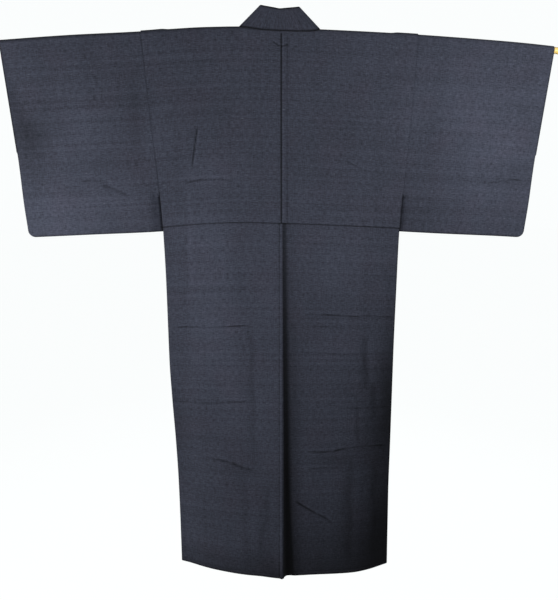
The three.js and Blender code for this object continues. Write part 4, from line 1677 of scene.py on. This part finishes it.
@dataclass(frozen=True)
class Mottle(Group):
    """A slow unevenness of tone, as in dyed cloth, planed wood or rolled paint."""

    name: str = "mottle"
    inputs: tuple[tuple[str, Socket, object], ...] = (
        ("Place", Socket.VECTOR, None), ("Spots", Socket.VALUE, 8.0), ("Amount", Socket.VALUE, 0.1),
    )
    outputs: tuple[tuple[str, Socket], ...] = (("Factor", Socket.VALUE),)
    gain: float = 4.0

    def fill(self, tree: Tree, given: Sockets,
             result: Sockets) -> None:
        """Adds noise and brings it round one.

        Args:
            tree: the group's tree.
            given: the sockets of its inputs.
            result: the sockets of its outputs.
        """
        cloud = node(tree, "TexNoise", Detail=3.0, Roughness=0.55)
        tree.links.new(given["Place"], cloud.inputs["Vector"])
        tree.links.new(given["Spots"], cloud.inputs["Scale"])
        centred = chain(tree, "SUBTRACT", cloud.outputs["Fac"], 0.5)
        swing = chain(tree, "MULTIPLY", centred, given["Amount"])
        tree.links.new(chain(tree, "MULTIPLY_ADD", swing, self.gain, 1.0), result["Factor"])


@dataclass(frozen=True)
class PlainWeave(Group):
    """A plain weave: its relief, its grain of lighter and darker threads, and its slubs."""

    name: str = "plain_weave"
    inputs: tuple[tuple[str, Socket, object], ...] = (
        ("Place", Socket.VECTOR, None), ("Grain", Socket.VALUE, 0.2), ("Slubs", Socket.VALUE, 0.5),
    )
    outputs: tuple[tuple[str, Socket], ...] = (("Factor", Socket.VALUE), ("Slub", Socket.VALUE),
                                               ("Height", Socket.VALUE))
    across_fibres: Triple = (95, 420, 1)
    down_fibres: Triple = (360, 60, 1)
    bands: Triple = (26, 0.9, 1)
    rows: Triple = (1.2, 120, 1)
    long_slubs: Triple = (85, 700, 1)
    long_slub_range: Pair = (0.66, 0.78)
    short_slubs: Triple = (620, 170, 1)
    short_slub_range: Pair = (0.71, 0.80)
    thread: float = 0.0009
    waves_per_scale: float = 0.314
    down_share: float = 0.45
    row_share: float = 0.35
    grain_middle: float = 0.9
    grain_swing: float = 5.0
    band_share: float = 0.28
    slub_relief: float = 0.7
    fibre_relief: float = 0.6

    def fill(self, tree: Tree, given: Sockets,
             result: Sockets) -> None:
        """Adds the grain, the slubs and the two crossing sets of threads.

        Args:
            tree: the group's tree.
            given: the sockets of its inputs.
            result: the sockets of its outputs.
        """
        place = given["Place"]
        across = noise(tree, place, self.across_fibres, detail=3.0, roughness=0.6)
        down = noise(tree, place, self.down_fibres)
        bands = noise(tree, place, self.bands, roughness=0.6)
        rows = noise(tree, place, self.rows, roughness=0.6)
        grain = chain(tree, "ADD", across, chain(tree, "MULTIPLY", down, self.down_share))
        grain = chain(tree, "ADD", grain, chain(tree, "MULTIPLY", rows, self.row_share))
        grain = chain(tree, "SUBTRACT", grain, self.grain_middle)
        swing = chain(tree, "MULTIPLY", chain(tree, "MULTIPLY", grain, given["Grain"]), self.grain_swing)
        banded = chain(tree, "MULTIPLY", chain(tree, "SUBTRACT", bands, 0.5), self.band_share)
        tree.links.new(chain(tree, "ADD", chain(tree, "ADD", swing, banded), 1.0), result["Factor"])
        long_slub = spread(tree, noise(tree, place, self.long_slubs), *self.long_slub_range)
        short_slub = spread(tree, noise(tree, place, self.short_slubs), *self.short_slub_range)
        slub = chain(tree, "MULTIPLY", chain(tree, "MAXIMUM", long_slub, short_slub), given["Slubs"])
        tree.links.new(slub, result["Slub"])
        threads = []
        for direction in ("X", "Y"):
            wave = node(tree, "TexWave", wave_type="BANDS", bands_direction=direction, Distortion=0.7,
                        Scale=self.waves_per_scale / self.thread, Detail=1.0, Detail_Scale=2.0)
            tree.links.new(place, wave.inputs["Vector"])
            threads.append(wave.outputs["Fac"])
        weave = chain(tree, "MULTIPLY", *threads)
        relief = chain(tree, "ADD", weave, chain(tree, "MULTIPLY", slub, self.slub_relief))
        fibres = chain(tree, "MULTIPLY", across, self.fibre_relief)
        tree.links.new(chain(tree, "ADD", relief, fibres), result["Height"])


@dataclass(frozen=True)
class Stitches(Group):
    """A row of tiny sunk stitches across a strip of cloth."""

    name: str = "stitch_row"
    inputs: tuple[tuple[str, Socket, object], ...] = (
        ("Place", Socket.VECTOR, None), ("Row", Socket.VALUE, 0.0), ("Pitch", Socket.VALUE, 0.012),
    )
    outputs: tuple[tuple[str, Socket], ...] = (("Mask", Socket.VALUE),)
    half_width: float = 0.0004
    stitch_share: float = 0.2

    def fill(self, tree: Tree, given: Sockets,
             result: Sockets) -> None:
        """Marks the spots that lie on the row and within a stitch.

        Args:
            tree: the group's tree.
            given: the sockets of its inputs.
            result: the sockets of its outputs.
        """
        parts = node(tree, "SeparateXYZ")
        tree.links.new(given["Place"], parts.inputs["Vector"])
        away = chain(tree, "ABSOLUTE", chain(tree, "SUBTRACT", parts.outputs["Y"], given["Row"]))
        on_row = chain(tree, "LESS_THAN", away, self.half_width)
        run = chain(tree, "FRACT", chain(tree, "DIVIDE", parts.outputs["X"], given["Pitch"]))
        in_stitch = chain(tree, "LESS_THAN", run, self.stitch_share)
        tree.links.new(chain(tree, "MULTIPLY", on_row, in_stitch), result["Mask"])


@dataclass(frozen=True)
class ClothFinish(Finish):
    """The dark plain-weave cloth: deep blue-black with small slubs and a matt, slightly fuzzy face."""

    name: str = "dark_cloth"
    base: Triple = (0.0434, 0.0484, 0.0693)
    warm: Triple = (0.0447, 0.0473, 0.0680)
    slub: Triple = (0.125, 0.135, 0.165)
    drift_spots: float = 11.0
    spots: float = 7.0
    mottle: float = 0.085
    grain: float = 0.38
    slubs: float = 0.78
    darkest_painted_shade: float = 0.94
    drift_range: Pair = (0.45, 0.68)
    relief_range: Pair = (0.0, 1.4)
    roughness: Pair = (0.96, 0.82)
    specular: float = 0.18
    sheen: float = 0.06
    sheen_roughness: float = 0.5
    sheen_tint: Triple = (0.8, 0.85, 1.0)
    bump: float = 0.45
    bump_depth: float = 0.0003
    stitch_rows: tuple[float, ...] = (1.449, -1.478)
    stitch_dark: float = 0.5

    def build(self) -> bpy.types.Material:
        """Builds the material.

        Returns:
            The material.
        """
        material, tree, surface = self.start()
        surface["Specular IOR Level"].default_value = self.specular
        surface["Sheen Weight"].default_value = self.sheen
        surface["Sheen Roughness"].default_value = self.sheen_roughness
        surface["Sheen Tint"].default_value = (*self.sheen_tint, 1)
        place = node(tree, "UVMap", uv_map="cloth").outputs["UV"]
        cloud = Mottle().place(tree, Place=place, Spots=self.spots, Amount=self.mottle)["Factor"]
        weave = PlainWeave().place(tree, Place=place, Grain=self.grain, Slubs=self.slubs)
        # the fold attribute is painted shade, painted light where negative, multiplied into the cloth's
        # colour
        fold = node(tree, "Attribute", attribute_name="fold").outputs["Fac"]
        keep = chain(tree, "MAXIMUM", chain(tree, "MULTIPLY_ADD", fold, -1.0, 1.0), 1 - self.darkest_painted_shade)
        for row in self.stitch_rows:
            stitch = Stitches().place(tree, Place=place, Row=row)["Mask"]
            keep = chain(tree, "MULTIPLY", keep, chain(tree, "MULTIPLY_ADD", stitch, -self.stitch_dark, 1.0))
        factor = chain(tree, "MULTIPLY", chain(tree, "MULTIPLY", cloud, weave["Factor"]), keep)
        drift = spread(tree, noise(tree, place, (self.drift_spots, self.drift_spots, 1)), *self.drift_range)
        dye = blend(tree, (*self.base, 1), (*self.warm, 1), drift)
        threads = blend(tree, dye, (*self.slub, 1), weave["Slub"])
        self.tint(tree, surface, threads, factor)
        rough = spread(tree, weave["Height"], *self.relief_range, *self.roughness)
        feed(tree, rough, surface["Roughness"])
        self.raise_up(tree, surface, weave["Height"], self.bump, self.bump_depth)
        return material


@dataclass(frozen=True)
class WoodFinish(Finish):
    """The rod's pale yellow wood with long fine grain, darker end grain and a low sheen."""

    name: str = "pale_wood"
    light: Triple = (1.0, 0.72, 0.22)
    dark: Triple = (0.72, 0.42, 0.10)
    grain_spots: Triple = (9, 260, 260)
    grain_range: Pair = (0.45, 0.85)
    pore_spots: Triple = (40, 900, 900)
    pore_range: Pair = (0.62, 0.8)
    cloud_spots: float = 5.0
    cloud: float = 0.08
    shine_range: Pair = (0.3, 0.8)
    roughness: Pair = (0.36, 0.55)
    bump: float = 0.2
    bump_depth: float = 0.0004

    def build(self) -> bpy.types.Material:
        """Builds the material.

        Returns:
            The material.
        """
        material, tree, surface = self.start()
        place = node(tree, "TexCoord").outputs["Object"]
        grain = noise(tree, place, self.grain_spots, detail=5.0, roughness=0.6)
        pores = noise(tree, place, self.pore_spots, roughness=0.6)
        cloud = Mottle().place(tree, Place=place, Spots=self.cloud_spots, Amount=self.cloud)["Factor"]
        streaks, dots = spread(tree, grain, *self.grain_range), spread(tree, pores, *self.pore_range)
        tone = blend(tree, (*self.light, 1), (*self.dark, 1), chain(tree, "MAXIMUM", streaks, dots))
        self.tint(tree, surface, tone, cloud)
        feed(tree, spread(tree, grain, *self.shine_range, *self.roughness), surface["Roughness"])
        self.raise_up(tree, surface, chain(tree, "ADD", grain, pores), self.bump, self.bump_depth)
        return material


@dataclass(frozen=True)
class FloorFinish(Finish):
    """The studio floor's pale matt paint, washed out to the backdrop's white as in a bright photograph."""

    name: str = "pale_paint"
    paint: Triple = (0.50, 0.51, 0.52)
    white: Triple = (0.965, 0.985, 0.985)
    roughness: float = 0.7
    cloud_spots: float = 0.7
    cloud: float = 0.01
    wash: float = 0.9
    glow: float = 1.1

    def build(self) -> bpy.types.Material:
        """Builds the material.

        Returns:
            The material.
        """
        material, tree, surface = self.start()
        surface["Roughness"].default_value = self.roughness
        place = node(tree, "TexCoord").outputs["Object"]
        cloud = Mottle().place(tree, Place=place, Spots=self.cloud_spots, Amount=self.cloud)["Factor"]
        self.tint(tree, surface, self.paint, cloud)
        glow = node(tree, "Emission", Color=(*self.white, 1), Strength=self.glow)
        seen = node(tree, "LightPath").outputs["Is Camera Ray"]
        either = node(tree, "MixShader")
        feed(tree, chain(tree, "MULTIPLY", seen, self.wash), either.inputs["Fac"])
        feed(tree, tree.nodes["Principled BSDF"].outputs["BSDF"], either.inputs[1])
        feed(tree, glow.outputs["Emission"], either.inputs[2])
        feed(tree, either.outputs["Shader"], tree.nodes["Material Output"].inputs["Surface"])
        return material


@dataclass(frozen=True)
class AreaLight:
    """One soft rectangular lamp, aimed at a point."""

    name: str
    place: Triple
    aim: Triple
    size: float
    power: float
    colour: Triple = (1, 1, 1)

    def build(self) -> Object:
        """Builds the lamp.

        Returns:
            The lamp.
        """
        data = bpy.data.lights.new(self.name, "AREA")
        data.size, data.energy, data.color = self.size, self.power, self.colour
        lamp = bpy.data.objects.new(self.name, data)
        lamp.location = self.place
        lamp.rotation_euler = (Vector(self.aim) - Vector(self.place)).to_track_quat("-Z", "Y").to_euler()
        lamp.visible_camera = False
        bpy.context.scene.collection.objects.link(lamp)
        return lamp


@dataclass(frozen=True)
class Studio:
    """The plain pale floor, soft light and camera."""

    floor_height: float = -1.95
    floor_size: float = 60.0
    camera_place: Triple = (-0.055, -1.497, -0.413)
    camera_yaw: float = 1.9
    camera_tilt: float = 10.0
    focal_pixels: float = 564.0
    image_size: tuple[int, int] = (558, 600)
    sensor: float = 36.0
    world_colour: Triple = (0.96, 0.98, 1.0)
    world_strength: float = 0.105
    backdrop_colour: Triple = (0.965, 0.985, 0.985)
    lights: tuple[AreaLight, ...] = (
        AreaLight("left_sleeve_lamp", (-1.2, -0.8, -0.5), (-0.4, 0.0, -0.4), 0.6, 10.5),
        AreaLight("left_side_lamp", (-2.2, -0.5, -0.7), (0.0, 0.0, -0.8), 0.8, 4.4),
        AreaLight("left_low_lamp", (-1.5, -0.45, -1.0), (0.0, 0.0, -0.9), 0.6, 6.3),
        AreaLight("right_sleeve_lamp", (0.9, -0.9, -0.1), (0.5, 0.0, -0.2), 0.5, 10.4),
        AreaLight("front_left_lamp", (-1.3, 1.7, 0.2), (0.0, 0.0, -0.6), 1.0, 26.0),
        AreaLight("front_right_lamp", (1.5, 1.9, -0.2), (0.0, 0.0, -0.6), 1.0, 18.0),
    )

    def build(self) -> None:
        """Builds the floor, world, lamps and camera."""
        self.build_floor()
        self.build_world()
        for light in self.lights:
            light.build()
        self.build_camera()

    def build_floor(self) -> None:
        """Builds the floor with a faint unevenness in its pale finish."""
        bpy.ops.object.select_all(action="DESELECT")
        bpy.ops.mesh.primitive_plane_add(size=self.floor_size, location=(0, 0, self.floor_height))
        floor = bpy.context.active_object
        floor.name = "floor"
        floor.data.materials.append(FloorFinish().build())

    def build_world(self) -> None:
        """Builds the even pale surroundings: a white backdrop for the camera and a dimmer soft light."""
        world = bpy.data.worlds.new("studio")
        bpy.context.scene.world = world
        bpy.context.scene.view_settings.view_transform = "Standard"
        world.use_nodes = True
        tree = world.node_tree
        link = tree.links.new
        soft = tree.nodes["Background"]
        soft.inputs["Color"].default_value = (*self.world_colour, 1)
        soft.inputs["Strength"].default_value = self.world_strength
        backdrop = tree.nodes.new("ShaderNodeBackground")
        backdrop.inputs["Color"].default_value = (*self.backdrop_colour, 1)
        seen = tree.nodes.new("ShaderNodeLightPath")
        either = tree.nodes.new("ShaderNodeMixShader")
        link(seen.outputs["Is Camera Ray"], either.inputs["Fac"])
        link(soft.outputs["Background"], either.inputs[1])
        link(backdrop.outputs["Background"], either.inputs[2])
        link(either.outputs["Shader"], tree.nodes["World Output"].inputs["Surface"])

    def build_camera(self) -> None:
        """Builds the camera at the photograph's place and angle."""
        data = bpy.data.cameras.new("camera")
        data.sensor_width = self.sensor
        data.lens = self.focal_pixels * self.sensor / max(self.image_size)
        camera = bpy.data.objects.new("camera", data)
        turn = Matrix.Rotation(-math.radians(self.camera_yaw), 4, "Z")
        tip = Matrix.Rotation(math.radians(90 - self.camera_tilt), 4, "X")
        camera.matrix_world = Matrix.Translation(self.camera_place) @ turn @ tip
        bpy.context.scene.collection.objects.link(camera)
        bpy.context.scene.camera = camera


@dataclass(frozen=True)
class FlatCut:
    """The size in metres of a piece laid flat, and its area where that isn't the product."""

    size: Pair
    area: float | None = None


@dataclass(frozen=True)
class Kimono:
    """The whole garment on its rod, with the flat cut of each piece and the drape of each wall of cloth."""

    cuts: dict[str, FlatCut] = field(default_factory=lambda: {
        "body_left": FlatCut((0.335, 2.95), 0.93), "body_right": FlatCut((0.335, 2.95), 0.93),
        "sleeve_left": FlatCut((0.36, 0.99), 0.352), "sleeve_right": FlatCut((0.36, 0.99), 0.346),
        "okumi_left": FlatCut((0.152, 1.225), 0.16), "okumi_right": FlatCut((0.152, 1.225), 0.16),
        "collar": FlatCut((0.053, 1.79)), "over_collar": FlatCut((0.108, 0.95)),
    })

    # each crease paints shade along its trough, and each patch paints broad shade into the cloth's colour, or
    # light where its value is negative
    back_left: Drape = Drape((
        Crease((-283, 745), (-212, 747), 2.4, -0.7, 0.61),
        Crease((-152, 745), (-90, 744), 2.4, -0.8, 0.8),
        Crease((-212, 747), (-150, 746), 2.4, -0.3, 0.26),
        Crease((-290, 960), (-85, 953), 3.2, -0.8, 0.42, 2),
        Crease((-250, 790), (-150, 786), 5.0, 0.5, 0.13),
        Crease((-207, 1119), (-140, 1131), 4.0, -1.0, 0.48, -3),
        Crease((-140, 1131), (-78, 1148), 4.6, -1.5, 0.67, 2),
        Crease((-22, 26), (-4, 37), 2.6, -0.6, 0.67, 0, 0.0),
        Crease((-212, 228), (-227, 322), 2.8, -1.0, 0.85, 1, 0.15, 0.35, 0.4),
        Crease((-250, 366), (-186, 361), 3.0, -0.7, 0.54, -2),
        Crease((-186, 361), (-122, 366), 3.2, -0.7, 0.35, -3),
        Crease((-184, 340), (-172, 350), 2.2, 0.4, -0.48, 0, 0.0),
        Crease((-247, 400), (-249, 655), 5.0, -0.3, 0.16, 0, 0.3, 0.6, 2.5),
        Crease((-150, 500), (-146, 720), 6.0, 0.3, -0.08, 0, 0.3, 0.0, 2.5),
        Crease((-82, 730), (-74, 1120), 9.0, -0.5, 0.16, 0, 0.2, 0.4, 3.0),
        Crease((-110, 1140), (-96, 1440), 14.0, -0.6, 0.13, 0, 0.3, 0.3, 4.0),
        Crease((-30, 1180), (-62, 1420), 8.0, -0.8, 0.16, 0, 0.3, 0.5, 3.0),
    ), painted_patches=(
        PaintedShadePatch((-200, 690), (62, 240), -0.24),
        PaintedShadePatch((-120, 640), (70, 260), -0.12),
        PaintedShadePatch((-20, 700), (36, 260), -0.12),
        PaintedShadePatch((-215, 500), (70, 60), -0.1),
        PaintedShadePatch((-300, 1010), (40, 120), 0.22),
        PaintedShadePatch((-190, 340), (90, 50), -0.12),
        PaintedShadePatch((-130, 1140), (60, 34), 0.12),
        PaintedShadePatch((-100, 1090), (26, 90), -0.1),
        PaintedShadePatch((-40, 1370), (34, 90), 0.22),
        PaintedShadePatch((-20, 1455), (30, 30), 0.3),
        PaintedShadePatch((-60, 1440), (70, 40), 0.14),
        PaintedShadePatch((-135, 900), (50, 130), -0.1),
        PaintedShadePatch((-160, 540), (30, 60), -0.08),
        PaintedShadePatch((-150, 1470), (260, 60), 0.46),
    ))
    back_right: Drape = Drape((
        Crease((66, 711), (112, 712), 2.4, -0.4, 0.32),
        Crease((108, 712), (214, 714), 2.6, -0.9, 0.83, 1, 0.6),
        Crease((214, 714), (310, 716), 2.4, -0.5, 0.48, 0, 0.5),
        Crease((76, 742), (166, 745), 2.4, -0.4, 0.29),
        Crease((26, 811), (178, 819), 2.8, -0.5, 0.22, 2),
        Crease((162, 970), (305, 976), 3.6, -0.8, 0.35, 2),
        Crease((70, 1094), (150, 1098), 3.2, -1.0, 0.64, 2, 0.7),
        Crease((144, 1098), (206, 1086), 3.8, -1.4, 0.85, -2, 0.6),
        Crease((200, 1087), (296, 1091), 3.6, -1.2, 0.72, -3, 0.6),
        Crease((76, 1146), (160, 1143), 4.0, -0.7, 0.32, 1),
        Crease((40, 1238), (100, 1280), 3.6, -1.3, 0.8, 2, 0.2),
        Crease((100, 1280), (142, 1306), 3.4, -1.1, 0.64, -1, 0.3),
        Crease((-1, 38), (18, 30), 2.6, -0.6, 0.67, 0, 0.0),
        Crease((168, 308), (208, 326), 2.4, -0.6, 0.51),
        Crease((228, 770), (232, 925), 10.0, -1.8, 0.36, 0, 0.3, 0.35, 1.5),
        Crease((252, 900), (258, 1010), 10.0, -1.6, 0.32, 0, 0.3, 0.35, 1.5),
        Crease((206, 960), (216, 1080), 6.0, -0.8, 0.26, 0, 0.3, 0.4, 2.0),
        Crease((150, 480), (146, 690), 6.0, 0.3, -0.06, 0, 0.3, 0.0, 2.5),
        Crease((190, 1120), (196, 1440), 12.0, -0.9, 0.26, 0, 0.3, 0.4, 3.0),
        Crease((262, 1130), (268, 1450), 12.0, -0.8, 0.32, 0, 0.3, 0.4, 3.0),
    ), painted_patches=(
        PaintedShadePatch((120, 560), (90, 90), -0.2),
        PaintedShadePatch((70, 420), (80, 60), -0.08),
        PaintedShadePatch((312, 760), (40, 190), 0.26),
        PaintedShadePatch((318, 1010), (80, 190), 0.74),
        PaintedShadePatch((330, 1390), (104, 270), 0.85),
        PaintedShadePatch((270, 1450), (90, 120), 0.4),
        PaintedShadePatch((150, 1120), (60, 26), 0.18),
        PaintedShadePatch((150, 1480), (260, 190), 0.5),
        PaintedShadePatch((300, 900), (26, 120), 0.2),
        PaintedShadePatch((288, 1330), (30, 190), 0.42),
        PaintedShadePatch((36, 980), (16, 300), 0.18),
        PaintedShadePatch((110, 1440), (60, 36), 0.16),
        PaintedShadePatch((180, 1290), (26, 150), 0.16),
    ))
    front_left: Drape = Drape((
        Crease((-290, 742), (-120, 746), 3.0, -0.7, 0.34, 2),
        Crease((-286, 958), (-150, 955), 3.4, -0.8, 0.24, -2),
        Crease((-210, 1132), (-96, 1120), 4.2, -1.3, 0.34, 3),
        Crease((-240, 330), (-228, 430), 2.6, -0.6, 0.3, 2),
        Crease((-130, 1010), (-122, 1300), 9.0, -0.7, 0.12, 0, 0.3, 0.4, 3.0),
    ))
    front_right: Drape = Drape((
        Crease((120, 718), (300, 714), 3.0, -0.8, 0.36, 2),
        Crease((140, 966), (306, 972), 3.6, -0.7, 0.22, 3),
        Crease((96, 1090), (280, 1104), 4.0, -1.2, 0.38, -4),
        Crease((118, 1252), (200, 1300), 4.0, -1.2, 0.36, 2),
        Crease((232, 780), (238, 960), 6.0, -0.9, 0.2, 0, 0.3, 0.35, 1.5),
    ))
    overlap_left: Drape = Drape((
        Crease((-50, 745), (70, 748), 3.0, -0.6, 0.3, 2),
        Crease((-60, 957), (60, 953), 3.4, -0.7, 0.22, -2),
        Crease((-60, 1150), (50, 1128), 4.2, -1.1, 0.3, 3),
    ))
    overlap_right: Drape = Drape((
        Crease((-60, 716), (54, 713), 3.0, -0.6, 0.3, 2),
        Crease((-50, 1100), (56, 1092), 4.0, -1.0, 0.3, -3),
    ))
    sleeve_left: Drape = Drape((
        Crease((-510, 345), (-438, 354), 5.0, -1.0, 0.34, -5),
        Crease((-460, 358), (-392, 386), 5.0, -1.3, 0.5, -3),
        Crease((-668, 96), (-640, 214), 20.0, -2.4, 0.12, 0, 0.1, 0.0, 3.0),
        Crease((-600, 150), (-520, 300), 26.0, 1.6, -0.05, 6, 0.1, 0.0, 4.0),
        Crease((-470, 130), (-400, 146), 9.0, -0.6, 0.05, 3),
    ), 0.5, (
        PaintedShadePatch((-648, 225), (60, 62), 0.38),
        PaintedShadePatch((-700, 110), (30, 50), 0.2),
        PaintedShadePatch((-610, 330), (50, 60), 0.1),
        PaintedShadePatch((-505, 215), (60, 80), -0.22),
        PaintedShadePatch((-366, 190), (16, 130), 0.14),
        PaintedShadePatch((-560, 420), (110, 70), -0.3),
        PaintedShadePatch((-420, 400), (60, 70), -0.2),
    ))
    sleeve_right: Drape = Drape((
        Crease((520, 343), (570, 339), 3.4, -0.9, 0.3, 2),
        Crease((566, 339), (630, 329), 3.4, -1.0, 0.4, -2),
        Crease((676, 36), (577, 120), 14.0, -1.2, 0.05, 4, 0.1, 0.3, 4.0),
        Crease((640, 150), (560, 186), 10.0, -0.9, 0.05, -3, 0.1, 0.3, 3.0),
        Crease((648, 226), (560, 262), 12.0, 1.0, -0.04, 4, 0.1, 0.0, 3.0),
        Crease((372, 148), (366, 260), 3.0, 0.4, -0.12, 0, 0.4, 0.0, 1.5),
    ), 0.5, (
        PaintedShadePatch((500, 190), (130, 110), -0.16),
        PaintedShadePatch((560, 330), (90, 12), 0.05),
        PaintedShadePatch((530, 370), (56, 90), -0.22),
        PaintedShadePatch((565, 250), (90, 80), -0.12),
        PaintedShadePatch((370, 430), (50, 60), 0.08),
    ))

    def build(self) -> None:
        """Builds and dresses each piece, attaches it to the root body and hides its imported part."""
        cut = Cut()
        cloth, wood = ClothFinish().build(), WoodFinish().build()
        pieces: dict[str, Object] = {}
        sides = (
            (Side.LEFT, self.back_left, self.front_left, self.sleeve_left, self.overlap_left),
            (Side.RIGHT, self.back_right, self.front_right, self.sleeve_right, self.overlap_right),
        )
        for side, back, front, sleeve, overlap in sides:
            tag = side.name.lower()
            pieces[f"body_{tag}"] = BodyStrip(cut, side, back, front).build()
            pieces[f"sleeve_{tag}"] = Sleeve(cut, side, sleeve).build()
            pieces[f"okumi_{tag}"] = Overlap(cut, side, overlap).build()
        pieces["collar"], pieces["over_collar"] = Collar(cut).build()
        for name, piece in pieces.items():
            piece.data.materials.append(cloth)
        rod = Rod(cut).build()
        rod.data.materials.append(wood)
        pieces["rod"] = rod
        for name, piece in pieces.items():
            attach(piece, ROOT)
            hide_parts(name)
            log.info("%s stands for %s with %d faces", piece.name, name, len(piece.data.polygons))


def main() -> None:
    """Builds the garment and the studio."""
    logging.basicConfig(level=logging.INFO, format="%(name)s: %(message)s")
    Kimono().build()
    Studio().build()


if __name__ == "__main__":
    main()
